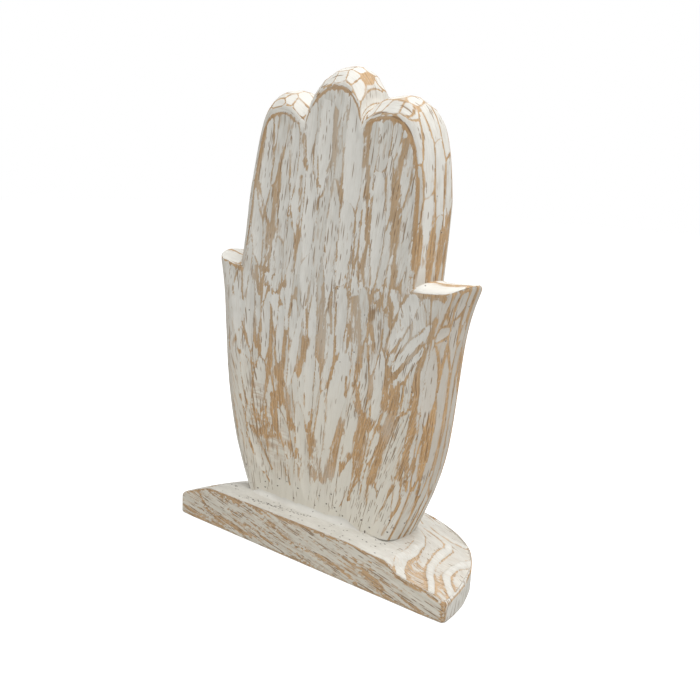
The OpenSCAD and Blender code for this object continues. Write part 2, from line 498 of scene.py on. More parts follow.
def half_controls(side, inset):
    """Control points of one half of the outline, as [x, height]: palm, scoop, side, slope and crown."""
    foot = np.array([side.foot_x - INSET.foot * inset, 0])
    tip = np.array([side.reach - INSET.thumb * inset, side.tip_h - INSET.scoop * inset])
    notch = np.array([side.notch_x - INSET.side * inset, side.notch_h - INSET.scoop * inset])
    finger = np.array([FINGER_SPAN / 2, HAND_H - side.drop - INSET.tip * inset])
    cleft = np.array([MIDDLE_W / 2, HAND_H - CLEFT_DROP - INSET.tip * inset])
    top = np.array([side.top_x, HAND_H - INSET.tip * inset])
    palm_l, scoop_l = np.linalg.norm(tip - foot), np.linalg.norm(tip - notch)
    side_l = np.linalg.norm(finger - notch)
    shoulder = np.array([notch[0] - finger[0], 0])
    slope_l = finger[0] - cleft[0]
    crown = top - cleft
    return np.array([
        [foot, foot + HANDLE.palm * palm_l * toward(PALM_FLARE),
         tip - HANDLE.thumb * palm_l * toward(side.flare), tip],
        [tip, tip - HANDLE.scoop * scoop_l * toward(90 - SCOOP_TIP_DIP),
         notch + HANDLE.scoop * scoop_l * toward(90 + SCOOP_NOTCH_DIP), notch],
        [notch, notch + HANDLE.side * side_l * toward(-side.lean),
         finger + HANDLE.shoulder * shoulder, finger],
        [finger, finger - np.array([HANDLE.cleft * slope_l, 0]),
         cleft + HANDLE.cleft * slope_l * toward(90 - CLEFT_RISE), cleft],
        [cleft, cleft + np.array([0, HANDLE.round * crown[1]]),
         top - np.array([HANDLE.round * crown[0], 0]), top],
    ])


def bezier(controls, share):
    """Points of a cubic curve at these shares of its run."""
    a, b, c, d = controls
    t = share[:, None]
    s = 1 - t
    return s ** 3 * a + 3 * s * s * t * b + 3 * s * t * t * c + t ** 3 * d


def even_shares(controls, step):
    """Curve parameters that place points about step apart, without the curve's end."""
    fine = np.linspace(0, 1, CURVE_SAMPLES)
    walked = walked_along(bezier(controls, fine))
    count = max(3, round(walked[-1] / step))
    return np.interp(np.linspace(0, walked[-1], count + 1)[:-1], walked, fine)


# Groups of the outline that are carved apart, from the right foot over the fingers to the left foot
PALM_R, SCOOP_R, SIDE_R, TIP_R, MIDDLE, TIP_L, SIDE_L, SCOOP_L, PALM_L = range(9)
RIGHT.groups = [PALM_R, SCOOP_R, SIDE_R, TIP_R, MIDDLE]
LEFT.groups = [PALM_L, SCOOP_L, SIDE_L, TIP_L, MIDDLE]

# Above this height over the foot, the side of a finger counts as its tip
TIP_START = 214.0

for half in (RIGHT, LEFT):
    half.shares = [even_shares(controls, EDGE_STEP) for controls in half_controls(half, 0)]


def half_outline(side, inset):
    """One half of the outline, from the foot's corner to just before the middle finger's top."""
    curves = zip(half_controls(side, inset), side.shares)
    return np.concatenate([bezier(controls, share) for controls, share in curves])


def round_off(points, corner):
    """Rounds a thumb's tip off in place."""
    first, last = corner - ROUND_REACH, corner + ROUND_REACH
    for _ in range(ROUND_PASSES):
        part = points[first:last + 1].copy()
        points[first + 1:last] = (part[:-2] + 2 * part[1:-1] + part[2:]) / 4


def outline(inset):
    """The hand's outline from the foot's right corner over the fingers to its left corner."""
    top = [[MIDDLE_X, HAND_H - INSET.tip * inset]]
    left = half_outline(LEFT, inset) * [-1, 1]
    points = np.concatenate([half_outline(RIGHT, inset), top, left[::-1]])
    round_off(points, len(RIGHT.shares[0]))
    round_off(points, len(points) - len(LEFT.shares[0]) - 1)
    return points


def outline_groups():
    """The group of each point of the outline."""
    right, left = (np.repeat(side.groups, [len(share) for share in side.shares]) for side in (RIGHT, LEFT))
    groups = np.concatenate([right, [MIDDLE], left[::-1]])
    high = outline(0)[:, 1] > TIP_START
    groups[high & (groups == SIDE_R)] = TIP_R
    groups[high & (groups == SIDE_L)] = TIP_L
    return groups


def edge_turns():
    """Turns from the rear face to the front face, -90 to 90 degrees, evenly spaced along a typical edge,
    and the distance of each from the middle of the edge."""
    fine = np.radians(np.linspace(-90, 90, TURN_SAMPLES))
    arc = np.stack([TYPICAL_INSET * np.cos(fine), HAND_TH / 2 * np.sin(fine)], -1)
    walked = walked_along(arc)
    places = np.linspace(0, walked[-1], round(walked[-1] / EDGE_STEP) + 1)
    return np.interp(places, walked, fine), places - walked[-1] / 2


# Body of the hand

# Cuts on the edge reach this far onto the faces
EDGE_REACH = 9.0


def circle(centre, radius):
    """Points of a bore's rim, seen from above."""
    turn = np.linspace(0, 2 * math.pi, BORE_POINTS, endpoint=False)
    return np.asarray(centre, float) + radius * np.stack([np.cos(turn), np.sin(turn)], -1)


def fastener(node, shank=None):
    """Middle, radius, shank radius and lowest and highest point of a dowel or screw, from its solid's box."""
    low, high = box_mm(node)
    radius = (high[0] - low[0]) / 2
    return SimpleNamespace(
        xy=(low[:2] + high[:2]) / 2, radius=radius, shank=shank or radius, low=low[2], high=high[2])


dowels = [fastener(f"dowel_{side}") for side in SIDES]
screws = [fastener(f"screw_{side}", SCREW_R) for side in SIDES]
bores = [circle(f.xy, f.shank + HOLE_CLEARANCE) for f in dowels + screws]


def hand_rings(turns):
    """Points of the rounded edge: one copy of the outline for each turn from face to face."""
    rings = []
    for turn in turns:
        flat = outline(1 - math.cos(turn))
        y = np.full(len(flat), HAND_MID_Y + HAND_TH / 2 * math.sin(turn))
        rings.append(np.stack([flat[:, 0], y, FOOT_Z + flat[:, 1]], -1))
    return np.array(rings)


def close_face(shell, ring, corners, step, flip):
    """Fills one flat face of the hand inside a ring of the edge, and returns the points along its foot."""
    right_corner, left_corner = corners
    steps = np.linspace(0, 1, round((right_corner - left_corner)[0] / step) + 1)[1:-1]
    bottom = shell.add(left_corner + steps[:, None] * (right_corner - left_corner))
    loop = np.concatenate([ring, bottom])
    inner, triangles = fill(shell.points()[loop][:, [0, 2]], step=step)
    y = np.full(len(inner), right_corner[1])
    numbers = np.concatenate([loop, shell.add(np.stack([inner[:, 0], y, inner[:, 1]], -1))])
    shell.patch(numbers, triangles, flip)
    return bottom


def hand_body():
    """The hand before it is carved: its points and faces, and its rounded edge."""
    turns, across = edge_turns()
    rings = hand_rings(turns)
    shell = Shell()
    band = shell.rows(rings)
    shell.grid(band[:, ::-1])
    band_faces = len(shell.faces)
    rear_foot = close_face(shell, band[0], rings[0, [0, -1]], REAR_STEP, False)
    front_foot = close_face(shell, band[-1], rings[-1, [0, -1]], FRONT_STEP, True)

    foot_loop = np.concatenate([band[:, 0], front_foot[::-1], band[::-1, -1], rear_foot])
    outer_count = shell.count
    _, triangles = fill(shell.points()[foot_loop][:, :2], bores)
    mouths = [shell.level(bore, FOOT_Z) for bore in bores]
    shell.patch(np.concatenate([foot_loop, *mouths]), triangles, flip=True)
    for mouth, bore, inserted in zip(mouths, bores, dowels + screws):
        top = shell.level(bore, inserted.high + END_CLEARANCE)
        shell.grid(np.stack([top, mouth]), closed=True)
        shell.fan(top, flip=True)
    return SimpleNamespace(
        points=shell.points(), faces=shell.faces, rings=rings, band=band, band_faces=band_faces,
        across=across, half_band=across[-1], outer_count=outer_count,
        arc=walked_along(rings[len(rings) // 2]), groups=outline_groups())


def edge_places(body):
    """Places of the points on or within EDGE_REACH of the rounded edge: their numbers, the distance along the
    outline, the distance across the edge, and the group. Beyond the edge, across goes on over the face."""
    ring_size = body.band.shape[1]
    ring_number, outline_number = np.divmod(np.arange(body.band.size), ring_size)
    inner = np.arange(body.band.size, body.outer_count)
    hit, gap = nearest(body.points[inner], np.concatenate([body.rings[0], body.rings[-1]]))
    rim_gap = np.zeros(len(body.points))
    rim_gap[inner] = gap
    close = gap < EDGE_REACH
    side = np.where(hit < ring_size, -1, 1)
    face_across = side * (body.half_band + gap)
    along = np.concatenate([outline_number, hit[close] % ring_size])
    return SimpleNamespace(
        where=np.concatenate([np.arange(body.band.size), inner[close]]),
        arc=body.arc[along], group=body.groups[along], rim_gap=rim_gap,
        across=np.concatenate([body.across[ring_number], face_across[close]]))


# Gouge strokes on the hand's two faces

# Main strokes on the photographed face: x, z, lean, length, width, and tone from thin to clean
MAIN_STROKES = [
    (-46, 200, 8, 62, 10, 0.9), (-51, 171, -4, 40, 9, 0.7), (-32, 188, 5, 62, 9, 0.6),
    (-26, 208, 3, 44, 8, 0.8), (-13, 183, 3, 68, 9, 1.0), (-4, 214, 4, 46, 10, 0.9),
    (-14, 226, 2, 40, 8, 0.8), (14, 208, 1, 66, 13, 1.0), (12, 170, 2, 62, 11, 0.8),
    (3, 176, 3, 48, 8, 0.6), (31, 182, 2, 62, 10, 0.8), (33, 214, 8, 40, 8, 0.3),
    (41, 222, 12, 34, 7, 0.6), (47, 206, 10, 46, 8, 0.7), (48, 176, 9, 54, 9, 0.4),
    (-35, 154, 2, 36, 8, 0.5), (-14, 148, 4, 34, 8, 0.8), (-20, 111, 10, 46, 6.5, 1.0),
    (-9, 106, 1, 92, 8, 1.0), (-32, 113, 4, 50, 7, 0.8), (-43, 113, 5, 42, 8, 0.8),
    (-22, 125, 4, 26, 7, 0.7), (-55, 122, 1, 48, 8, 0.6), (4, 116, 4, 52, 9, 0.7),
    (10, 128, 4, 52, 9, 0.7), (9, 88, 12, 72, 13, 1.0), (33, 124, 3, 46, 10, 0.4),
    (36, 97, 4, 46, 9, 0.8), (50, 134, 28, 36, 9, 0.8), (56, 122, 40, 36, 8, 0.8),
    (52, 110, 38, 40, 7, 0.7), (28, 100, 0, 48, 7, 0.4), (-46, 85, 4, 40, 9, 0.8),
    (-57, 90, -4, 46, 9, 0.7), (65, 108, 6, 52, 9, 0.8), (-45, 46, -36, 36, 9, 0.9),
    (-26, 61, -24, 30, 8, 0.9), (-12, 55, -10, 50, 9, 0.8), (0, 66, 8, 54, 9, 0.9),
    (20, 66, 14, 40, 8, 0.9), (18, 46, 16, 30, 9, 0.9), (47, 68, 23, 50, 10, 0.5),
    (37, 70, 18, 24, 5, 0.9), (44, 40, 14, 36, 10, 0.9), (35, 40, 6, 34, 9, 0.9), (53, 50, 4, 40, 7, 0.8),
    (26, 36, 4, 26, 9, 0.9), (62, 75, 2, 50, 8, 0.8),
]

# Streaks there that are rubbed through to the wood: x and z of both ends, half width, strength
WORN_STREAKS = [
    (-52, 196, -48, 184, 1.2, 1.3), (-48, 184, -43, 173, 1.6, 1.5), (-43, 173, -44, 160, 1.8, 1.5),
    (-33, 212, -38, 191, 1.8, 1.5), (-38, 191, -40, 166, 2.2, 1.7), (-40, 166, -42, 148, 1.6, 1.3),
    (-19, 219, -17, 203, 1.6, 1.6), (-20, 198, -21, 166, 2.0, 1.7), (-21, 166, -24, 150, 1.5, 1.3),
    (-12, 214, -12, 200, 1.0, 1.6), (-12, 200, -7, 194, 1.2, 1.4), (2, 230, 2, 210, 2.2, 1.9),
    (2, 209, -3, 202, 1.2, 1.6), (7, 197, 7, 189, 1.6, 1.5), (23, 227, 22, 206, 1.8, 1.8),
    (24, 205, 25, 170, 1.3, 1.8), (25, 170, 22, 150, 1.2, 1.3), (45, 217, 40, 199, 1.8, 1.6),
    (41, 197, 42, 168, 2.8, 1.8), (42, 168, 43, 150, 2.0, 1.3), (54, 200, 54, 160, 1.2, 1.3),
    (-30, 143, -34, 136, 1.6, 1.5), (-34, 136, -31, 131, 1.2, 1.3), (-21, 141, -27, 122, 1.5, 1.6),
    (-27, 122, -28, 100, 1.6, 1.8), (-28, 100, -30, 92, 1.5, 1.5), (-12, 146, -13, 114, 1.0, 1.6),
    (-13, 114, -17, 97, 2.6, 2.3), (-38, 127, -38, 104, 1.5, 1.5), (-38, 104, -41, 82, 1.6, 1.6),
    (-52, 122, -49, 105, 2.0, 1.2), (-61, 118, -58, 104, 3.0, 1.2), (-2, 144, -3, 107, 2.2, 1.5),
    (4, 142, 4, 121, 1.2, 1.4), (19, 140, 24, 116, 2.4, 1.5), (24, 116, 22, 97, 1.8, 1.7),
    (22, 97, 26, 84, 2.0, 1.7), (17, 125, 15, 113, 1.8, 1.6), (8, 115, 8, 108, 1.5, 1.4),
    (8, 108, 6, 96, 1.2, 1.3), (16, 100, 16, 91, 1.4, 1.8), (34, 140, 30, 133, 1.8, 1.6),
    (43, 140, 42, 131, 1.5, 1.5), (30, 128, 33, 116, 1.6, 1.4), (68, 137, 65, 124, 1.5, 1.9),
    (65, 124, 60, 109, 1.4, 2.0), (60, 109, 60, 82, 1.6, 2.1), (60, 82, 52, 56, 1.5, 2.0),
    (62, 126, 45, 104, 0.9, 1.7), (58, 147, 69, 147, 1.3, 1.5), (69, 147, 80, 149, 1.5, 1.6),
    (-67, 148, -66, 140, 1.2, 1.4), (-63, 147, -61, 131, 1.6, 1.5), (-69, 136, -67, 127, 1.0, 1.3),
    (-63, 126, -60, 113, 1.6, 1.4), (-63, 113, -68, 104, 1.8, 1.4), (-68, 103, -52, 95, 1.4, 1.4),
    (-51, 149, -48, 135, 1.4, 1.4), (42, 110, 42, 90, 1.8, 1.7), (32, 103, 32, 94, 1.6, 1.6),
    (48, 98, 46, 86, 3.2, 1.8), (34, 79, 47, 76, 3.2, 1.6), (-32, 95, -29, 80, 3.5, 2.2),
    (-35, 80, -33, 62, 3.2, 2.1), (-24, 82, -21, 66, 2.6, 2.0), (-30, 80, -26, 78, 4.0, 1.9),
    (-47, 57, -28, 59, 2.4, 1.5), (-28, 56, -22, 55, 2.4, 1.5), (-8, 76, -6, 57, 2.0, 1.8),
    (-6, 57, -3, 42, 1.6, 1.6), (14, 76, 8, 46, 2.6, 2.2), (8, 52, 3, 42, 3.0, 2.0),
    (20, 60, 15, 51, 1.6, 1.8), (28, 80, 26, 52, 4.0, 2.3), (26, 52, 22, 36, 1.2, 1.9),
    (46, 84, 35, 50, 3.4, 2.2), (34, 48, 33, 36, 0.9, 1.7), (49, 51, 38, 26, 0.9, 1.7),
    (54, 62, 54, 44, 0.9, 1.8), (54, 44, 45, 24, 1.2, 1.8), (57, 65, 58, 49, 0.8, 1.6),
    (62, 66, 63, 51, 1.6, 1.7), (-52, 59, -34, 38, 1.0, 1.6), (-34, 38, -42, 34, 1.0, 1.4),
    (-55, 52, -48, 44, 1.0, 1.3), (30, 46, 23, 27, 0.7, 1.7), (20, 42, 16, 30, 0.7, 1.5),
    (4, 42, 0, 30, 0.7, 1.5), (47, 46, 41, 30, 0.6, 1.6), (58, 46, 50, 26, 0.7, 1.7),
    (-26, 44, -20, 33, 0.8, 1.5), (-44, 44, -36, 30, 0.8, 1.4),
]

# Oval zones there of speckled paint, of fine open grain and of smudged paint: x, z, and the
# reach along each
SPECK_ZONES = [
    (-40, 140, 20, 9), (15, 150, 5, 13), (38, 142, 9, 8), (21, 120, 4, 20), (0, 125, 6, 18),
    (-8, 182, 4, 16), (48, 94, 7, 10), (-45, 60, 14, 12), (-10, 50, 12, 13),
]
HAIR_ZONES = [
    (-30, 200, 5, 24), (-45, 205, 4, 18), (-3, 205, 4, 22), (-5, 177, 9, 23), (34, 208, 7, 22),
    (47, 175, 6, 24), (47, 68, 7, 22), (33, 124, 6, 18), (28, 100, 5, 18), (3, 150, 10, 12),
    (-52, 95, 9, 22), (56, 112, 8, 12), (25, 33, 34, 9), (-40, 38, 18, 9), (-46, 62, 15, 14),
]
SMUDGE_ZONES = [(-44, 66, 10, 8), (-34, 55, 10, 12), (-48, 78, 7, 7)]

# Flow of the strokes: upright on the fingers, fanning out above the foot, and swept aside below one thumb
FAN_TOP = 100.0
FAN_BLEND = 50.0
FAN_RATE = 0.0061
UPRIGHT_SLOPE = 0.07
SIDE_SLOPE = 0.0021
SIDE_LEVEL = 180.0
SWIRL_X = 54.0
SWIRL_Z = 118.0
SWIRL_REACH = 16.0
SWIRL_SLOPE = 0.6

# Spacing of the strokes that cover a face, how far each may stray, and the range of its half width and length
COLUMN_STEP = 7.6
ROW_STEP = 30.0
FACE_HALF = 88
COLUMN_STRAY = 1.6
ROW_STRAY = 7.0
LEAN_STRAY = 4.0
HALF_WIDTHS = (3.2, 6.0)
HALF_LENGTHS = (18, 40)

# Depth of such a stroke, with a rate for its half width, and heights over the foot below which it is shallow
STROKE_DEPTH = 0.16
STROKE_RATE = 0.17
STROKE_VARIES = (0.6, 1.2)
STROKE_CALM = (14, 30)

# Strokes above this height over the foot are bare where the patchiness, from 0 to 1, is over a limit; never
# stands for one that it can't reach
BARE_START = 45.0
NEVER = 2.0

# Seed of the strokes, how bold they are on the photographed face and on the other one, and that one's limit
HAND_SEED = 20
REAR_BOLDNESS = 0.6
FRONT_BOLDNESS = 1.0
FRONT_BARE = 0.77

# A main stroke: its half length and half width as shares of its listed length and width, and its depth
MAIN_SHARE = 0.58
MAIN_DEPTH = 0.45
MAIN_RATE = 0.085
MAIN_CALM = (8, 26)

# Strokes are shallower close to the edge of a face
RIM_CALM = (0.5, 5)


def face_flow(x, z):
    """Place across the gouge strokes on a face of the hand, in mm: it stays the same along a stroke."""
    spread = np.exp(FAN_RATE * (FAN_TOP - np.minimum(z, FAN_TOP)))
    above = smooth_step(FAN_TOP, FAN_TOP + FAN_BLEND, z)
    swirl = np.exp(-((x - SWIRL_X) ** 2 + (z - SWIRL_Z) ** 2) / SWIRL_REACH ** 2)
    flow = x * spread - UPRIGHT_SLOPE * (z - FAN_TOP) - SWIRL_SLOPE * (z - SWIRL_Z) * swirl
    return flow - SIDE_SLOPE * np.abs(x) * (z - SIDE_LEVEL) * above


def face_lean(x, z):
    """Lean of the gouge strokes at a place on a face, in degrees from up towards the right."""
    across = face_flow(x + 0.5, z) - face_flow(x - 0.5, z)
    upward = face_flow(x, z + 0.5) - face_flow(x, z - 0.5)
    return math.degrees(math.atan2(-upward, across))


def cover_face(flat, rng, boldness, bare_over):
    """Covers one flat face of the hand with gouge strokes, which are shallow near its foot."""
    rows = np.arange(FOOT_Z, FOOT_Z + HAND_H + ROW_STEP, ROW_STEP)
    for number, column in enumerate(np.arange(-FACE_HALF, FACE_HALF + 1, COLUMN_STEP)):
        for row in rows + ROW_STEP / 2 * (number % 2):
            x = column + rng.normal(0, COLUMN_STRAY)
            z = row + rng.normal(0, ROW_STRAY)
            half_width = rng.uniform(*HALF_WIDTHS)
            half_len = rng.uniform(*HALF_LENGTHS)
            lean = face_lean(x, z) + rng.normal(0, LEAN_STRAY)
            depth = boldness * (STROKE_DEPTH + STROKE_RATE * half_width * rng.uniform(*STROKE_VARIES))
            depth *= 0.15 + 0.85 * smooth_step(*STROKE_CALM, z - FOOT_Z)
            patchiness = lumps(np.array([[x, 0, z]]), *STROKE_PATCHES)[0]
            bare = float(patchiness > bare_over and z > FOOT_Z + BARE_START)
            flat.stroke((x, z), lean, half_len, half_width, depth, rng.uniform(), bare)


def cut_main_strokes(flat):
    """Cuts the main strokes of the photographed face, over those that cover it."""
    for x, z, lean, length, width, tone in MAIN_STROKES:
        depth = (MAIN_DEPTH + MAIN_RATE * width) * (0.35 + 0.65 * smooth_step(*MAIN_CALM, z - FOOT_Z))
        flat.stroke((x, z), lean, MAIN_SHARE * length, MAIN_SHARE * width, depth, tone, 0.0)


# Knife facets round the hand's edge

# Tone of a clean cut, from 0 for thin paint to 1
CLEAN_TONE = 0.9

# One seed for each group of the outline
EDGE_SEEDS = [40, 41, 92, 83, 74, 75, 76, 47, 48]

TIP_GROUPS = (TIP_R, MIDDLE, TIP_L)
SCOOP_GROUPS = (SCOOP_R, SCOOP_L)

# Strips on a finger's side also reach into its tip, and facets on that tip also reach down the side
RIGHT_FINGER = (SIDE_R, TIP_R)
LEFT_FINGER = (SIDE_L, TIP_L)
REGIONS = {SIDE_R: RIGHT_FINGER, TIP_R: RIGHT_FINGER, SIDE_L: LEFT_FINGER, TIP_L: LEFT_FINGER}

# Facets of a fingertip: rows as shares of half the edge's width, sizes in mm, and the outline's turn over one
TIP_ROWS = (-0.72, -0.28, 0.24, 0.72)
ROW_WANDER = 0.045
TILT = 0.03
TIP_LONGEST = 42.0
TIP_SHORTEST = 6.0
TIP_LEAST = 3.0
FACET_TURN = 23.0
FACET_START = (2, 6)
FACET_STRETCH = (0.75, 1.25)
FACET_HALF_WIDTH = 4.5
FACET_BEYOND = 9.0
FACET_ASIDE = 13.0

# Depth of a facet's plane: it takes this percentage of its own cell, within these depths, it lifts off beyond
# its cell and over the hand's faces, and it is shallower close to a corner of the outline
FACET_TAKES = 82
FACET_SINKS = (0.2, 0.8)
EMPTY_SINK = 0.3
FACET_TONES = (0.6, 1)
FACET_LIFT = 0.05
FACE_LIFT = 0.5
CORNER_CALM = (0, 5)

# Strips along the palms, and the wider and shorter ones along the fingers: gap, and range of the half length
PALM_STRIPS = (5.6, (24, 48))
SIDE_STRIPS = (7.0, (16, 32))
STRIP_OVERLAP = 7.0
STRIP_LEAST = 12.0
STRIP_STAGGER = 20.0

# One strip: half width as a share of the gap, depth with a rate for its half width, how far it strays and
# drifts, and how many half lengths further the next one starts
STRIP_WIDTHS = (0.55, 0.88)
STRIP_DEPTH = 0.14
STRIP_RATE = 0.11
STRIP_STRAY = 0.9
STRIP_DRIFT = 0.035
STRIP_NEXT = (1.2, 1.7)

# Hollows in the clefts, and the ends of those on the thumbs, which fade out
CLEFT_REACH = 4.0
CLEFT_DEPTH = 0.5
SCOOP_FADE = 3.0
SCOOP_VARIES = (0.95, 1.05)
SCOOP_TONES = (0.8, 1)

# The facet nearest to this place, on the middle finger, is rubbed nearly bare
BARE_SPOT = (17, -17, 246)
BARE_REACH = 8.0
BARE_SHARE = 0.8

# Broad cuts on the right palm's edge: z, place across the edge, half length, half width, depth
PALM_CUTS = [
    (107, -14, 24, 5.4, 1.3), (132.5, -12, 5.5, 4.6, 0.9), (145, -6, 11, 4.4, 0.9), (66, -13, 20, 3.6, 0.7),
]

# Hollow cuts along the top of a thumb, from its rear edge: middle, half width and depth in mm, the first two
# as shares of half the edge's width
THUMB_SCOOPS = [(-0.6, 0.46, 0.8), (0.12, 0.4, 0.42), (0.68, 0.42, 0.45)]


def outline_heading(body):
    """Direction of the outline at each of its points, in degrees."""
    steps = np.diff(body.rings[len(body.rings) // 2][:, [0, 2]], axis=0)
    heading = np.degrees(np.arctan2(steps[:, 1], steps[:, 0]))
    return np.concatenate([heading, heading[-1:]])


def facet_seeds(arc, heading, members, rng):
    """Places of a row of facets along one fingertip, closer together where the outline turns: the number of
    an outline point, and half the facet's length."""
    seeds = []
    walked = rng.uniform(*FACET_START)
    turned = 0
    stretch = rng.uniform(*FACET_STRETCH)
    for before, now in zip(members[:-1], members[1:]):
        walked += arc[now] - arc[before]
        turned += abs((heading[now] - heading[before] + 180) % 360 - 180)
        if walked > TIP_LONGEST * stretch or turned > FACET_TURN * stretch and walked > TIP_SHORTEST:
            seeds.append((arc[now] - walked / 2, walked / 2))
            walked = turned = 0
    if walked > TIP_LEAST or not seeds:
        seeds.append((arc[members[-1]] - walked / 2, max(walked / 2, TIP_LEAST)))
    numbers = np.clip(np.searchsorted(arc, [s[0] for s in seeds]), members[0], members[-1])
    return [(int(number), half_len) for number, (_, half_len) in zip(numbers, seeds)]


def tip_facets(body, normals, group, rng):
    """Planes of the knife facets on one fingertip, in rows from face to face."""
    heading = outline_heading(body)
    members = np.flatnonzero(body.groups == group)
    band_normals = normals[:body.band.size].reshape(body.rings.shape)
    facets = []
    for row in TIP_ROWS:
        for index, half_len in facet_seeds(body.arc, heading, members, rng):
            place = body.half_band * (row + rng.normal(0, ROW_WANDER))
            ring = int(np.argmin(np.abs(body.across - place)))
            normal = unit(band_normals[ring, index] + rng.normal(0, TILT, 3))
            facets.append(SimpleNamespace(
                point=body.rings[ring, index], normal=normal, half_len=half_len,
                arc=body.arc[index], across=body.across[ring]))
    return facets


def region(places, group):
    """Numbers of the places where one group's cuts are worked out."""
    return np.flatnonzero(np.isin(places.group, REGIONS.get(group, (group,))))


def corner_fade(body, places):
    """How fully facets are cut at each place: less close to where two groups meet in a corner."""
    corners = [np.flatnonzero(body.groups == g)[0] for g in (SCOOP_R, SIDE_R, MIDDLE, TIP_L, SCOOP_L, PALM_L)]
    to_corner = np.abs(places.arc[:, None] - body.arc[corners]).min(1)
    return 0.3 + 0.7 * smooth_step(*CORNER_CALM, to_corner)


def cut_facets(carving, body, places, group, rng):
    """Cuts the facets of one fingertip, each about as deep as its own cell needs to become flat."""
    facets = tip_facets(body, carving.normals, group, rng)
    fade = corner_fade(body, places)
    mine = region(places, group)
    points = carving.points[places.where[mine]]
    arc, across = places.arc[mine], places.across[mine]
    gaps = [np.abs(arc - f.arc) / f.half_len + np.abs(across - f.across) / FACET_HALF_WIDTH for f in facets]
    owner = np.argmin(gaps, axis=0)
    to_spot = [np.linalg.norm(f.point - np.array(BARE_SPOT)) for f in facets]
    barest = int(np.argmin(to_spot)) if min(to_spot) < BARE_REACH else None
    for number, f in enumerate(facets):
        fall = (f.point - points[owner == number]) @ f.normal
        sink = np.clip(np.percentile(fall, FACET_TAKES), *FACET_SINKS) if len(fall) else EMPTY_SINK
        beyond, aside = np.abs(arc - f.arc) - f.half_len, np.abs(across - f.across)
        near = np.flatnonzero((beyond < FACET_BEYOND) & (aside < FACET_ASIDE))
        where = places.where[mine[near]]
        beyond = np.maximum(beyond[near], 0)
        aside = np.maximum(aside[near] - FACET_HALF_WIDTH, 0)
        on_face = np.maximum(np.abs(across[near]) - body.half_band, 0)
        lift = FACET_LIFT * (beyond ** 2 + aside ** 2) + FACE_LIFT * on_face ** 2
        bare = BARE_SHARE * float(number == barest)
        carving.plane(where, f.point, f.normal, sink, rng.uniform(*FACET_TONES), bare, lift, fade[mine[near]])


def cut_strip(carving, body, places, mine, strip, tone):
    """One long lens-shaped cut that follows the outline."""
    forward = places.arc[mine] - strip.arc
    u = forward / strip.half_len
    v = (places.across[mine] - strip.across - strip.drift * forward) / strip.half_width
    close = u * u + v * v < LENS_REACH
    where = places.where[mine[close]]
    along = np.cross(carving.normals[where], [0, 1, 0])
    across = np.cross(along, carving.normals[where])
    cut, slope = lens(u[close], v[close], along, across, strip.half_len, strip.half_width, strip.depth)
    on_face = np.maximum(np.abs(places.across[mine[close]]) - body.half_band, 0)
    carving.cut(where, cut - FACE_LIFT * on_face ** 2, slope, tone, 0.0)


def cut_strips(carving, body, places, group, rng):
    """Covers one palm or finger side with long narrow strips."""
    mine = region(places, group)
    start, end = body.arc[body.groups == group][[0, -1]] + np.array([-STRIP_OVERLAP, STRIP_OVERLAP])
    gap, lengths = SIDE_STRIPS if group in REGIONS else PALM_STRIPS
    for row in np.arange(-body.half_band, body.half_band + 1, gap):
        arc = start - rng.uniform(0, STRIP_STAGGER)
        while arc < end - STRIP_LEAST:
            half_len = min(rng.uniform(*lengths), (end - arc) / 2)
            half_width = gap * rng.uniform(*STRIP_WIDTHS)
            strip = SimpleNamespace(
                arc=arc + half_len, across=row + rng.normal(0, STRIP_STRAY), half_len=half_len,
                half_width=half_width, depth=STRIP_DEPTH + STRIP_RATE * half_width,
                drift=rng.normal(0, STRIP_DRIFT))
            cut_strip(carving, body, places, mine, strip, rng.uniform())
            arc += half_len * rng.uniform(*STRIP_NEXT)


def cut_palm(carving, body, places):
    """The broad cuts on the right palm's edge."""
    mine = region(places, PALM_R)
    members = np.flatnonzero(body.groups == PALM_R)
    heights = body.rings[len(body.rings) // 2][members, 2]
    for z, across, half_len, half_width, depth in PALM_CUTS:
        arc = np.interp(z, heights, body.arc[members])
        strip = SimpleNamespace(
            arc=arc, across=across, half_len=half_len, half_width=half_width, depth=depth, drift=0.0)
        cut_strip(carving, body, places, mine, strip, CLEAN_TONE)


def scoop_thumb(carving, body, places, group, rng):
    """Long hollow cuts along the top of a thumb."""
    mine = region(places, group)
    start, end = body.arc[body.groups == group][[0, -1]]
    arc = places.arc[mine]
    fade = smooth_step(0, SCOOP_FADE, arc - start) * smooth_step(0, SCOOP_FADE, end - arc)
    for middle, width, depth in THUMB_SCOOPS:
        half_width = body.half_band * width * rng.uniform(*SCOOP_VARIES)
        offset = (places.across[mine] - body.half_band * middle) / half_width
        slope = np.zeros((len(mine), 3))
        slope[:, 1] = -2 * depth * offset / half_width
        tone = rng.uniform(*SCOOP_TONES)
        carving.cut(places.where[mine], depth * (1 - offset ** 2) * fade, slope, tone, 0.0)


def scoop_cleft(carving, body, places, cleft_arc):
    """A clean hollow cut through the cleft between two fingers, from face to face."""
    gap = places.arc - cleft_arc
    near = (np.abs(gap) < CLEFT_REACH) & (np.abs(places.across) < body.half_band)
    share = gap[near] / CLEFT_REACH
    where = places.where[near]
    along = np.cross(carving.normals[where], [0, 1, 0])
    slope = along * (-2 * share / CLEFT_REACH)[:, None]
    carving.cut(where, CLEFT_DEPTH * (1 - share ** 2), CLEFT_DEPTH * slope, CLEAN_TONE, 0.0)


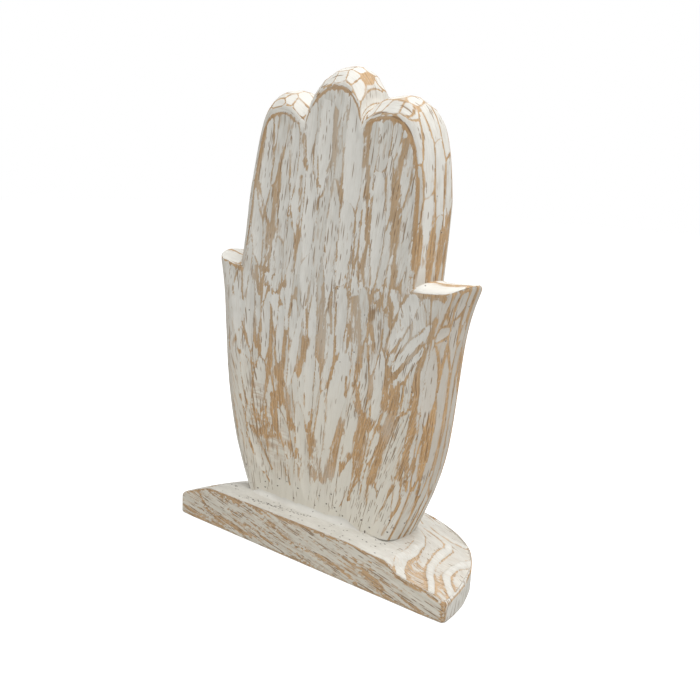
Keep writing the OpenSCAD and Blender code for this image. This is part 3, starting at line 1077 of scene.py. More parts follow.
def carve_edge(carving, body, places):
    """Knife facets round the hand's edge, and hollows on top of the thumbs and in the clefts."""
    for group, seed in enumerate(EDGE_SEEDS):
        rng = np.random.default_rng(seed)
        if group in SCOOP_GROUPS:
            scoop_thumb(carving, body, places, group, rng)
        elif group in TIP_GROUPS:
            cut_facets(carving, body, places, group, rng)
        else:
            cut_strips(carving, body, places, group, rng)
    cut_palm(carving, body, places)
    for cleft in np.flatnonzero(body.groups == MIDDLE)[[0, -1]]:
        scoop_cleft(carving, body, places, body.arc[cleft])


# Paint of the hand

# Grain on the other face and on the edge starts this far from that of the photographed face
FRONT_GRAIN = 300.0
BAND_GRAIN = 600.0

# Places on the hand where its paint changes, from and to, in mm: heights, heights over the foot, x, distances
# from a face's border and from a cleft, and depth behind the photographed face
FINGERS = (150, 165)
TIPS = (195, 215)
NEAR_FOOT = (45, 85)
CREAM_BELOW = (60, 130)
# Heights above which the rounded palm edges get painted shade
PALM_SHADE_ABOVE = (30, 70)
HAZE_ABOVE = (80, 135)
OVER_FOOT = (10, 40)
SMEARED_FOOT = (4, 20)
SMEAR_WANDER = 18.0
LEFTWARD = (-30, 0)
RIGHT_FLANK = (40, 52)
ON_EDGE = (0.3, 2.0)
# Reach of the band along the rounded edge that gets painted shade on the palms and less cream
NEAR_ROUND_EDGE = (-4, 7)
CLEFT_CLEAR = (2, 8)
REAR_DEPTH = (1, 4)

# A place on the right finger's side that is nearly bare: x, z, and the reach along each
BARE_SIDE = (61, 166, 9, 13)

# A lens of clean paint on the right palm's edge: place across the edge, height, and the reach along each
CLEAN_LENS = (-13, 107, 5.5, 24)

# The tan line along a face's border: its place from the edge, how far that moves to the left, and its width
BORDER_AT = 0.1
BORDER_LEFT = 0.8
BORDER_WIDTH = 0.95


def near_streaks(points, streaks):
    """How strongly the listed streaks wear each point of an upright face."""
    total = np.zeros(len(points))
    for x0, z0, x1, z1, half_width, strength in streaks:
        gap = line_gap(points[:, [0, 2]], (x0, z0), (x1, z1))
        total = np.maximum(total, strength * bell(gap, half_width))
    return total


def in_zones(points, zones):
    """1 in the middle of an oval zone of the photographed face, fading out beyond its reach."""
    total = np.zeros(len(points))
    for x, z, reach_x, reach_z in zones:
        total = np.maximum(total, bell(points[:, 0] - x, reach_x) * bell(points[:, 2] - z, reach_z))
    return total


def hand_grain(body, places):
    """Grain coordinates at each face corner: across and along the strokes of a face, or of the edge."""
    flat, counts = face_corners(body.faces)
    on_band = np.repeat(np.arange(len(counts)) < body.band_faces, counts)
    x, y, z = body.points.T
    flow = np.where(y < HAND_MID_Y, face_flow(x, z), FRONT_GRAIN + face_flow(-x, z))
    edge_flow, edge_along = flow.copy(), z.copy()
    edge_flow[places.where] = BAND_GRAIN + places.across
    edge_along[places.where] = places.arc
    return {
        "flow": np.where(on_band, edge_flow[flat], flow[flat]),
        "along": np.where(on_band, edge_along[flat], z[flat]),
    }


def at_places(body, places, values, elsewhere):
    """Values of the places on or near the edge, and one value for all other points."""
    result = np.full(len(body.points), elsewhere)
    result[places.where] = values
    return result


def hand_zones(body, places):
    """Where each point of the hand lies, as shares from 0 to 1. onto_face is in mm from a face's border."""
    points = body.points
    x, y, z = points.T
    onto_face = at_places(body, places, np.abs(places.across) - body.half_band, FAR)
    on_edge = np.where(np.arange(len(points)) < body.band.size, smooth_step(*ON_EDGE, -onto_face), 0)
    fingers, tips = smooth_step(*FINGERS, z), smooth_step(*TIPS, z)
    wander = SMEAR_WANDER * (lumps(points, *HAND_SMEAR) - 0.5)
    return SimpleNamespace(
        onto_face=onto_face, on_edge=on_edge, off_edge=1 - on_edge,
        on_scoop=at_places(body, places, np.isin(places.group, SCOOP_GROUPS), 0.0),
        rear=smooth_drop(*REAR_DEPTH, y - hand_low[1]), leftward=smooth_drop(*LEFTWARD, x),
        fingers=fingers, tips=tips, right_side=fingers * (1 - tips) * smooth_step(*RIGHT_FLANK, x),
        above_foot=smooth_step(*OVER_FOOT, z - FOOT_Z), near_foot=smooth_drop(*NEAR_FOOT, z),
        smear=smooth_drop(*SMEARED_FOOT, z - FOOT_Z + wander), lively=lumps(points, *HAND_LIVELY))


def face_wear(zone, speck):
    """Wear of the hand's two faces: lively, but calm near the foot."""
    wear = (2.2 - 0.95 * zone.rear) * zone.lively * (0.35 + 0.65 * zone.above_foot)
    return wear - 0.5 + 0.1 * zone.rear + 0.8 * speck


def edge_wear(body, places, zone):
    """Wear of the rounded edge: streaky along the palms and the right finger, slight on top of the thumbs."""
    across = at_places(body, places, places.across, 0.0)
    arc = at_places(body, places, places.arc, 0.0)
    lens_across, lens_z, reach_across, reach_z = CLEAN_LENS
    off_lens = ((across - lens_across) / reach_across) ** 4 + ((body.points[:, 2] - lens_z) / reach_z) ** 4
    streaky = patches(np.column_stack([across, 0 * arc, arc]), EDGE_STREAKS, 0.5, 0.8)
    streaky *= (1 - zone.fingers + 0.7 * zone.right_side) * (1 - np.exp(-off_lens))
    wear = 0.55 + 0.6 * zone.lively - 0.15 * (zone.fingers + zone.tips) + 0.3 * zone.right_side
    wear -= (0.5 - 0.4 * zone.leftward) * zone.on_scoop + 0.3 * zone.near_foot
    return wear + 1.6 * in_zones(body.points, [BARE_SIDE]) + (1.2 - 0.7 * zone.near_foot) * streaky


def border_wear(body, places, zone):
    """How close each point lies to the border of a face, and how much it is rubbed there."""
    clefts = body.arc[body.groups == MIDDLE][[0, -1]]
    from_cleft = at_places(body, places, np.abs(places.arc[:, None] - clefts).min(1), FAR)
    border = bell(zone.onto_face - BORDER_AT - BORDER_LEFT * zone.leftward, BORDER_WIDTH)
    border *= zone.above_foot * smooth_step(*CLEFT_CLEAR, from_cleft)
    border *= 1 - 0.5 * zone.on_scoop * (1 - zone.leftward)
    strength = 1.3 + 1.5 * zone.fingers - 0.9 * zone.right_side + zone.on_scoop * zone.leftward
    evenness = 0.55 + 0.45 * zone.fingers + (0.9 - 0.5 * zone.fingers) * zone.lively
    return border, border * strength * evenness


def hand_paint(body, places, carving):
    """How the paint lies at each point: worn, smeared, frayed, speckled, open-grained, tinted or hazed, and
    darkened on the palm edges as painted shade.
    """
    points, z = body.points, body.points[:, 2]
    zone = hand_zones(body, places)
    rear, off_edge = zone.rear, zone.off_edge
    speck = off_edge * blend(rear, in_zones(points, SPECK_ZONES), patches(points, SPECK_PATCHES, 0.6, 0.8))
    open_grain = 0.2 + 0.8 * in_zones(points, HAIR_ZONES)
    hairy = off_edge * blend(rear, open_grain, patches(points, HAIR_PATCHES, 0.4, 0.7))
    hairy += 0.25 * zone.on_edge * (1 - zone.on_scoop)
    chosen = rear * off_edge * near_streaks(points, WORN_STREAKS)
    chosen *= 0.65 + 0.7 * lumps(points, *STREAK_BREAKS)
    border, rubbed = border_wear(body, places, zone)
    wear = blend(zone.on_edge, edge_wear(body, places, zone), face_wear(zone, speck))
    wear -= (1.2 * carving.bluntness() + 1.6 * zone.smear * off_edge) * (1 - np.minimum(chosen, 1))
    round_edge = smooth_drop(*NEAR_ROUND_EDGE, zone.onto_face)
    return {
        "wear": wear + chosen + rubbed,
        "rub": border * (0.3 + 0.7 * zone.fingers),
        "smear": zone.smear,
        "fray": (0.4 + 0.6 * off_edge) * (1 - 0.6 * zone.smear),
        "speck": speck,
        "hairy": hairy * (1 - 0.4 * zone.smear),
        "smudge": rear * off_edge * in_zones(points, SMUDGE_ZONES),
        "pinholes": 0.05 * zone.smear,
        "cream": 0.6 * smooth_drop(*CREAM_BELOW, z) * (1 - 0.7 * round_edge),
        # Painted shade: the rounded palm edges face away from the light, so their paint is darkened towards
        # taupe
        "taupe_and_shade": 0.55 * round_edge * (1 - zone.fingers) * (1 - zone.on_scoop) * smooth_step(*PALM_SHADE_ABOVE, z),
        "film": 0.45 * patches(points, FILM_PATCHES, 0.5, 0.95) * off_edge,
        "haze": (0.08 + 0.5 * smooth_step(*HAZE_ABOVE, z)) * (1 - 0.55 * zone.on_edge) * (1 - 0.6 * border),
    }


def build_hand(material):
    """The carved and painted hand."""
    body = hand_body()
    places = edge_places(body)
    normals = normals_of(body.points, body.faces)
    normals[body.points[:, 2] < FOOT_Z + 0.01, 2] = 0
    normals = unit(normals)
    normals[body.outer_count:] = 0
    carving = Carving(body.points, normals)
    rng = np.random.default_rng(HAND_SEED)
    strength = 0.3 + 0.7 * smooth_step(*RIM_CALM, places.rim_gap)
    rear = Flat(carving, (0, hand_low[1], 0), (1, 0, 0), (0, 0, 1), strength)
    cover_face(rear, rng, REAR_BOLDNESS, NEVER)
    cut_main_strokes(rear)
    front = Flat(carving, (0, hand_high[1], 0), (-1, 0, 0), (0, 0, 1), strength)
    cover_face(front, rng, FRONT_BOLDNESS, FRONT_BARE)
    carve_edge(carving, body, places)
    attributes = carving.corner_fields(body.faces)
    attributes |= hand_grain(body, places)
    attributes |= hand_paint(body, places, carving)
    make_piece("hand_carved", carving.carved(), body.faces, attributes, material, "carved_hand")


# Base

# Sizes of its rounded corners and edges, which are worn towards its ends, and of its growth rings
LEFT_CORNER_R = 4.5
RIGHT_CORNER_R = 2.6
TOP_EDGE_R = 1.0
FOOT_EDGE_R = 0.6
FOOT_TURNS = np.radians([0, 30, 60])
TOP_TURNS = np.radians([25, 50, 70])
END_WEAR = 1.2
END_START = 80.0
WALL_ROWS = 24
RING_PITCH = 3.3
RING_RELIEF = 0.5
RING_TILT = (0.05, -0.02)
GRAIN_CLIMB = 0.19

# The base's top slopes from just inside its land, and dips further towards its curve, towards its right end
# and at its left shoulder: depth, and where, from and to
SLOPE_INSIDE = 3
CURVE_DIP = 2.6
CURVE_DIP_Y = (0, 40)
RIGHT_DIP = 1.5
RIGHT_DIP_X = (34, 54)
RIGHT_DIP_Y = (-30, -20)
LEFT_DIP = 2.0
LEFT_DIP_X = (56.5, 64)
LEFT_DIP_Y = (-32, -12)

# Its right end is cut down behind a slanting scarp, to a height at one place, falling further to the right
SCARP = (57, 67)
SCARP_SLANT = 0.12
END_X = 64.0
END_Z = 15.4
END_FALL = 0.11

# Strokes on its straight face: seed, places, how far they stray, lean and size in mm and degrees
BASE_SEED = 7
STRAIGHT_COLUMNS = np.arange(-96, 97, 9.0)
STRAIGHT_ROWS = np.arange(0.5, 23, 2.2)
STRAIGHT_STRAYS = (3, 0.7)
STRAIGHT_LEAN = 102
STRAIGHT_LEAN_STRAY = 3
STRAIGHT_LENGTHS = (16, 42)
STRAIGHT_WIDTHS = (0.9, 2.0)
STRAIGHT_DEPTHS = (0.2, 0.5)
STRAIGHT_BARE = 0.86

# Facets on its curved wall: one for so many points of the outline, their tilt, depth and reach, and how far
# from the straight face they start
FACET_EVERY = 22
FACET_TILT = 0.02
FACET_DEPTH = 0.3
FACET_REACH = 16.0
FACET_CLEAR = 3.0

# Raised bands of hard wood on the base's right end: half width, and places seen from above
RAISED_BANDS = [
    (2.6, [(71, -46), (64, -39), (61.5, -33), (61.5, -25), (60, -17), (54.5, -10), (48, -6.5)]),
    (1.7, [(88, -46), (77, -31.5), (71.5, -22.5), (69.5, -13.5), (68, -3), (65, 1.5), (59, 3), (45, 4)]),
    (1.9, [(97, -38), (86.5, -30), (82, -24.5), (80, -16), (80, -6.5), (80, 6)]),
    (1.8, [(40, 14), (53.5, 9.5), (62, 10), (68, 17)]),
]
BAND_RELIEF = 0.9

# They start along a slanting line, stray from their places, and have soft edges with a worn line beyond them
BAND_START = (41, 55)
BAND_SLANT = 0.25
BAND_STRAY = 1.4
BAND_SOFT = 0.7
BAND_LINE = 0.5

# Streaks on its straight face that are rubbed through to the wood, given as the hand's are
STRAIGHT_STREAKS = [
    (-78, 17, -71, 9, 0.7, 1.5), (-71, 9, -65, 5.3, 0.7, 1.5), (-65, 5.3, -54, 2.4, 0.6, 1.4),
    (-59, 20, -44, 18, 0.9, 1.4), (-20, 16, -10, 11.2, 0.7, 1.6), (-10, 11.2, 1, 8, 0.8, 1.7),
    (1, 8, 16, 8.6, 0.7, 1.5), (16, 8.6, 29, 6.4, 0.7, 1.5), (29, 6.4, 36, 4.3, 0.8, 1.5),
    (36, 4.3, 45, 0.5, 0.9, 1.4), (29, 13.4, 38, 11.5, 0.8, 1.4), (38, 11.5, 50, 10.4, 1.1, 1.5),
    (46, 10.2, 60, 3, 1.3, 1.5), (50, 10.4, 64, 1.2, 0.8, 1.3),
]

# Where its paint changes, from and to, in mm: the ledge in front of the hand, and the worn right end
LEDGE_Y = (-30, -26)
LEDGE_LEFT = (-75, -60)
LEDGE_RIGHT = (45, 60)
WORN_END_X = (58, 66)
WORN_END_Y = (-32, -16)

# How far wear spreads from its edges, and the height of the lowest one
TOP_EDGE_W = 1.5
STRAIGHT_EDGE_W = 1.6
ROUND_EDGE_W = 1.2
UPRIGHT_EDGE_W = 2.2
BOTTOM_EDGE_Z = 0.4
BOTTOM_EDGE_W = 0.9

# A row of pinholes along the ledge in front of the hand, seen from above, and its width
PINHOLE_ROW = [(-44, -39.6), (-17, -36), (0, -33.4)]
PINHOLE_ROW_W = 1.2


def arc_points(centre, radius, start, end, count):
    """Points on an arc, from one angle to another in radians."""
    turn = np.linspace(start, end, count)
    return np.asarray(centre) + radius * np.stack([np.cos(turn), np.sin(turn)], -1)


def corner_centre(sign, radius):
    """Middle of the rounded corner where the straight face meets the curved edge."""
    y = base_low[1] + radius
    return np.array([sign * math.sqrt((BASE_R - radius) ** 2 - (y - DISC_Y) ** 2), y])


def base_outline():
    """The base's outline seen from above, counterclockwise from the left end of its straight face, and the
    outward direction at each of its points."""
    left, right = corner_centre(-1, LEFT_CORNER_R), corner_centre(1, RIGHT_CORNER_R)
    right_turn = math.atan2(right[1] - DISC_Y, right[0])
    left_turn = math.atan2(left[1] - DISC_Y, left[0])
    fine = np.concatenate([
        [[left[0], base_low[1]]],
        arc_points(right, RIGHT_CORNER_R, -math.pi / 2, right_turn, 30),
        arc_points([0, DISC_Y], BASE_R, right_turn, left_turn, 900)[1:],
        arc_points(left, LEFT_CORNER_R, left_turn, 1.5 * math.pi, 40)[1:],
    ])
    walked = walked_along(fine)
    places = np.linspace(0, walked[-1], round(walked[-1] / BASE_STEP), endpoint=False)
    loop = np.stack([np.interp(places, walked, fine[:, axis]) for axis in (0, 1)], -1)
    ahead = np.roll(loop, -1, axis=0) - np.roll(loop, 1, axis=0)
    out = np.stack([ahead[:, 1], -ahead[:, 0]], -1)
    return loop, unit(out)


def top_height(xy):
    """Height of the base's top: a level land under the hand, sloping to the rim and lowest at the right."""
    x, y = xy.T
    reach = np.hypot(x, y - DISC_Y)
    start = LAND_R - SLOPE_INSIDE
    slope = np.clip((reach - start) / (BASE_R - RIM_EDGE - start), 0, 1)
    height = LAND_Z - (LAND_Z - RIM_Z) * (0.85 * slope ** 1.25 + 0.15 * slope)
    height -= CURVE_DIP * smooth_step(*CURVE_DIP_Y, y) * slope
    height -= RIGHT_DIP * smooth_step(*RIGHT_DIP_X, x) * smooth_drop(*RIGHT_DIP_Y, y)
    height -= LEFT_DIP * smooth_step(*LEFT_DIP_X, -x) * smooth_step(*LEFT_DIP_Y, y) * (1 - slope)
    scarp = smooth_step(*SCARP, x - SCARP_SLANT * (y - base_low[1]))
    lowered = np.minimum(height, END_Z - END_FALL * (x - END_X))
    return height + (lowered - height) * scarp


def base_wall(loop, out):
    """Rings of points up the base's wall and over its rounded edges."""
    top = top_height(loop)
    worn = 1 + END_WEAR * smooth_step(END_START, BASE_LEN / 2, np.abs(loop[:, 0]))
    foot_r, top_r = FOOT_EDGE_R * worn, TOP_EDGE_R * worn
    rows = [(foot_r * (1 - math.sin(turn)), foot_r * (1 - math.cos(turn))) for turn in FOOT_TURNS]
    rows += [(0 * top, foot_r + (top - top_r - foot_r) * share) for share in np.linspace(0, 1, WALL_ROWS)]
    rows += [(top_r * (1 - math.cos(turn)), top - top_r * (1 - math.sin(turn))) for turn in TOP_TURNS]
    rows.append((top_r, top_height(loop - top_r[:, None] * out)))
    return np.array([np.column_stack([loop - inset[:, None] * out, height]) for inset, height in rows])


def base_body():
    """The base before it is carved, with its bores and counterbores."""
    rings = base_wall(*base_outline())
    shell = Shell()
    wall = shell.rows(rings)
    shell.grid(wall, closed=True)

    inner, triangles = fill(rings[-1][:, :2], bores, BASE_STEP)
    lips = [shell.level(bore, top_height(bore)) for bore in bores]
    middle = shell.level(inner, top_height(inner))
    shell.patch(np.concatenate([wall[-1], *lips, middle]), triangles)
    for dowel, lip, bore in zip(dowels, lips, bores):
        floor = shell.level(bore, dowel.low)
        shell.grid(np.stack([lip, floor]), closed=True)
        shell.fan(floor)

    wide = [circle(screw.xy, screw.radius + HEAD_CLEARANCE) for screw in screws]
    openings = [shell.level(ring, 0.0) for ring in wide]
    _, triangles = fill(rings[0][:, :2], wide)
    shell.patch(np.concatenate([wall[0], *openings]), triangles, flip=True)
    first = len(dowels)
    for screw, lip, bore, opening, ring in zip(screws, lips[first:], bores[first:], openings, wide):
        seat = screw.low + HEAD_H
        deep = shell.level(ring, seat)
        hole = shell.level(bore, seat)
        shell.grid(np.stack([opening, deep, hole, lip])[::-1], closed=True)
    return SimpleNamespace(points=shell.points(), faces=shell.faces, wall=wall, middle=middle)


def ring_phase(points):
    """Growth rings of the base's board, counted upwards: nearly level layers, so the slopes show contours."""
    x, y, z = points.T
    wander = 2.4 * (lumps(points, *RING_WANDER) - 0.5) + 1.2 * (lumps(points, *RING_WAVER) - 0.5)
    return (z - RING_TILT[0] * x - RING_TILT[1] * y + wander) / RING_PITCH


def raised_bands(points, on_top):
    """Where the right end's raised bands lie: 1 on a band, 1 along its edges, and 1 all over that end."""
    x, y, _ = points.T
    end = on_top * smooth_step(*BAND_START, x + BAND_SLANT * y)
    strays = np.column_stack([lumps(points, *noise) for noise in BAND_STRAYS]) - 0.5
    band, line = np.zeros(len(points)), np.zeros(len(points))
    for half_width, path in RAISED_BANDS:
        beyond = path_gap(points[:, :2] + BAND_STRAY * strays, path) - half_width
        band = np.maximum(band, smooth_drop(-BAND_SOFT, BAND_SOFT, beyond))
        line = np.maximum(line, bell(beyond - BAND_LINE, BAND_SOFT))
    return band * end, line * end, end


def carve_straight_face(carving, rng):
    """Fine slanting gouge strokes along the base's straight face."""
    straight = Flat(carving, (0, base_low[1], 0), (1, 0, 0), (0, 0, 1))
    for x in STRAIGHT_COLUMNS:
        for z in STRAIGHT_ROWS:
            place = (x, z) + rng.normal(0, STRAIGHT_STRAYS)
            bare = float(lumps(np.array([[x, 0, z]]), *STRAIGHT_PATCHES)[0] > STRAIGHT_BARE)
            lean = STRAIGHT_LEAN + rng.normal(0, STRAIGHT_LEAN_STRAY)
            half_len, half_width = rng.uniform(*STRAIGHT_LENGTHS), rng.uniform(*STRAIGHT_WIDTHS)
            depth = rng.uniform(*STRAIGHT_DEPTHS)
            straight.stroke(place, lean, half_len, half_width, depth, rng.uniform(), 0.9 * bare)


def carve_round_wall(carving, body, rng):
    """Broad knife facets along the base's curved wall."""
    middle_ring = body.wall[len(body.wall) // 2]
    where = body.wall[1:-1].ravel()
    for number in middle_ring[::FACET_EVERY]:
        seed = body.points[number]
        if seed[1] < base_low[1] + FACET_CLEAR:
            continue
        normal = unit(carving.normals[number] + rng.normal(0, FACET_TILT, 3))
        near = where[np.linalg.norm(body.points[where][:, :2] - seed[:2], axis=1) < FACET_REACH]
        carving.plane(near, seed, normal, FACET_DEPTH, rng.uniform())


def base_zones(body, carving):
    """Where each point of the base lies, as shares from 0 to 1, and its growth ring."""
    points = body.points
    x, y, z = points.T
    on_top = np.zeros(len(points))
    on_top[body.middle] = 1
    on_top[body.wall[-1]] = 1
    on_straight = (carving.normals[:, 1] < -0.6).astype(float)
    reach = np.hypot(x, y - DISC_Y)
    to_straight, to_round = y - base_low[1], reach - BASE_R
    below_edge = np.abs(z - top_height(np.column_stack([x, np.maximum(y, base_low[1] + 1)])))
    band, line, end = raised_bands(points, on_top)
    return SimpleNamespace(
        on_top=on_top, on_straight=on_straight, on_round=(1 - on_top) * (1 - on_straight),
        sloping=on_top * smooth_step(LAND_R - 4, LAND_R + 3, reach),
        ledge=on_top * smooth_drop(*LEDGE_Y, y) * smooth_drop(*LEDGE_RIGHT, x) * smooth_step(*LEDGE_LEFT, x),
        straight_edge=bell(to_straight, STRAIGHT_EDGE_W) * bell(below_edge, TOP_EDGE_W),
        round_edge=bell(to_round, ROUND_EDGE_W) * bell(below_edge, ROUND_EDGE_W),
        upright_edge=bell(to_round, UPRIGHT_EDGE_W) * bell(to_straight, UPRIGHT_EDGE_W),
        bottom_edge=on_straight * bell(z - BOTTOM_EDGE_Z, BOTTOM_EDGE_W),
        band=band, line=line, end=end, between=end * (1 - band),
        phase=ring_phase(points), lively=lumps(points, *BASE_LIVELY))


def ring_relief(zone):
    """How far soft wood has sunk between the growth rings and between the raised bands, in mm."""
    turn = zone.phase % 1
    groove = smooth_step(0.38, 0.5, turn) * smooth_drop(0.85, 1.0, turn)
    return zone.sloping * (RING_RELIEF * groove * (1 - zone.end) + BAND_RELIEF * (zone.end - zone.band))


def base_wear(points, zone, carving):
    """How far the base's paint is worn: along its edges, in streaks, on soft rings and between the bands."""
    x, y, _ = points.T
    right_end = zone.between * smooth_step(*WORN_END_X, x) * smooth_drop(*WORN_END_Y, y)
    sunken = smooth_step(0.42, 0.55, zone.phase % 1) * zone.sloping * (1 - zone.end)
    wear = zone.on_straight * (0.9 * zone.lively ** 2 - 0.38 + near_streaks(points, STRAIGHT_STREAKS))
    wear += 2.4 * zone.straight_edge + 1.4 * zone.round_edge + 2.8 * zone.upright_edge
    wear += 1.5 * zone.bottom_edge * (0.4 + zone.lively) - 1.2 * carving.bluntness()
    wear += 1.7 * right_end * patches(points, END_PATCHES, 0.1, 0.4)
    wear += 2.6 * zone.line * patches(points, LINE_PATCHES, 0.2, 0.5)
    return wear + 0.9 * sunken + 0.85 * zone.between - 0.8 * zone.band


def base_paint(points, zone, carving):
    """How the paint, the growth rings and the grain lie at each point of the base."""
    x, y, z = points.T
    on_top, on_straight, on_round, between = zone.on_top, zone.on_straight, zone.on_round, zone.between
    turned = BASE_R * np.arctan2(x, y - DISC_Y)
    pinholes = on_top * bell(path_gap(points[:, :2], PINHOLE_ROW), PINHOLE_ROW_W)
    return {
        "wear": base_wear(points, zone, carving),
        "smear": zone.ledge,
        "fray": 0.5 + 0.5 * on_straight,
        "speck": 0.1 * on_straight + 0.2 * zone.sloping * (1 - zone.band) + between,
        "hairy": 0.55 * on_straight + 0.8 * on_round + 0.15 * between,
        "pinholes": np.maximum(pinholes, 0.06 * zone.ledge),
        "cream": 0.6 * on_straight + 0.1 * zone.ledge,
        # Taupe darkening of the paint on the straight face and between the raised bands
        "taupe_and_shade": 0.1 * on_straight + 0.25 * between,
        "film": 0.12 * on_straight * zone.lively + 0.25 * between,
        "haze": (0.15 + 0.1 * on_top) * (1 - between),
        "rub": 0.6 * zone.straight_edge,
        "phase": zone.phase,
        "ring": zone.sloping * (1 - zone.end),
        "flow": blend(on_round, turned + 0.5 * z, z + GRAIN_CLIMB * x),
        "depth": y * (1 - on_round),
        "along": blend(on_round, z, x),
    }


def build_base(material):
    """The carved and painted base."""
    body = base_body()
    shown = np.zeros((len(body.points), 1))
    shown[body.wall[1:].ravel()] = 1
    shown[body.middle] = 1
    carving = Carving(body.points, shown * normals_of(body.points, body.faces))
    rng = np.random.default_rng(BASE_SEED)
    carve_straight_face(carving, rng)
    carve_round_wall(carving, body, rng)
    zone = base_zones(body, carving)
    carved = carving.carved() - carving.normals * ring_relief(zone)[:, None]
    attributes = carving.corner_fields(body.faces)
    attributes |= base_paint(body.points, zone, carving)
    make_piece("base_carved", carved, body.faces, attributes, material, "half_moon_base")


# Seam filler

# Its section: legs out along the base and up the hand, hollowness, and depth sunk into both; it tapers off
# over these lengths to a share of its size at its left and right end
FILLER_OUT = 3.8
FILLER_UP = 3.4
FILLER_HOLLOW = 1.15
FILLER_CLEAR = 0.06
FILLER_SUNK = 0.3
FILLER_TAPERS = (6, 10)
FILLER_LEAST = 0.15
FILLER_TURNS = np.linspace(0, math.pi / 2, 11)
FILLER_SECTIONS = 150


def filler_section(x, start, end):
    """Hollow section of the fillet at one place: distances out from the hand and up from the base."""
    spot = np.array([[x, 0, 0]])
    left, right = FILLER_TAPERS
    taper = min(1.0, FILLER_LEAST + (x - start) / left, FILLER_LEAST + (end - x) / right)
    leg_out = FILLER_OUT * (0.7 + 0.5 * lumps(spot, *FILLER_OUT_WAVER)[0]) * taper
    leg_up = FILLER_UP * (0.7 + 0.5 * lumps(spot, *FILLER_UP_WAVER)[0]) * taper
    hollow = np.stack([1 - np.sin(FILLER_TURNS), 1 - np.cos(FILLER_TURNS)], -1) ** FILLER_HOLLOW
    outer = hollow * [leg_out, leg_up] - FILLER_CLEAR
    sunk = [[-FILLER_SUNK, outer[-1, 1]], [-FILLER_SUNK, -FILLER_SUNK], [outer[0, 0], -FILLER_SUNK]]
    return np.concatenate([outer, sunk])


def build_filler(name, node, material, face_y, out):
    """A hand-smoothed fillet of filler in the corner between one of the hand's faces and the base."""
    low, high = box_mm(node)
    start, end = low[0] + 1, high[0] - 1
    sections = []
    for x in np.linspace(start, end, FILLER_SECTIONS):
        away, up = filler_section(x, start, end).T
        place = np.column_stack([np.full(len(away), x), face_y + out * away])
        low_share = 1 - np.clip(up / up.max(), 0, 1)
        drop = (top_height(place) - LAND_Z) * low_share
        sections.append(np.column_stack([place, FOOT_Z + up + drop]))
    shell = Shell()
    numbers = shell.rows(np.array(sections))
    shell.grid(numbers if out < 0 else numbers[:, ::-1], closed=True)
    shell.fan(numbers[0], flip=out > 0)
    shell.fan(numbers[-1], flip=out < 0)
    points = shell.points()
    tone = lumps(points, *FILLER_TONE)
    make_piece(name, points, shell.faces, {"tone": tone}, material, node)


# Materials

class Value:
    """A number, place, colour or shader from a node. Numbers are used in plain formulas, which add nodes."""

    def __init__(self, graph, socket):
        self.graph, self.socket = graph, socket

    def __add__(self, other):
        return self.graph.math("ADD", self, other)

    def __sub__(self, other):
        return self.graph.math("SUBTRACT", self, other)

    def __rsub__(self, other):
        return self.graph.math("SUBTRACT", other, self)

    def __mul__(self, other):
        return self.graph.math("MULTIPLY", self, other)

    def __truediv__(self, other):
        return self.graph.math("DIVIDE", self, other)

    __radd__ = __add__
    __rmul__ = __mul__

    def rise(self, low, high, start=0.0, end=1.0):
        """start below low, end above high, and a smooth change between them."""
        inputs = {"Value": self, "From Min": low, "From Max": high, "To Min": start, "To Max": end}
        return self.graph.value("MapRange", inputs, interpolation_type="SMOOTHSTEP")


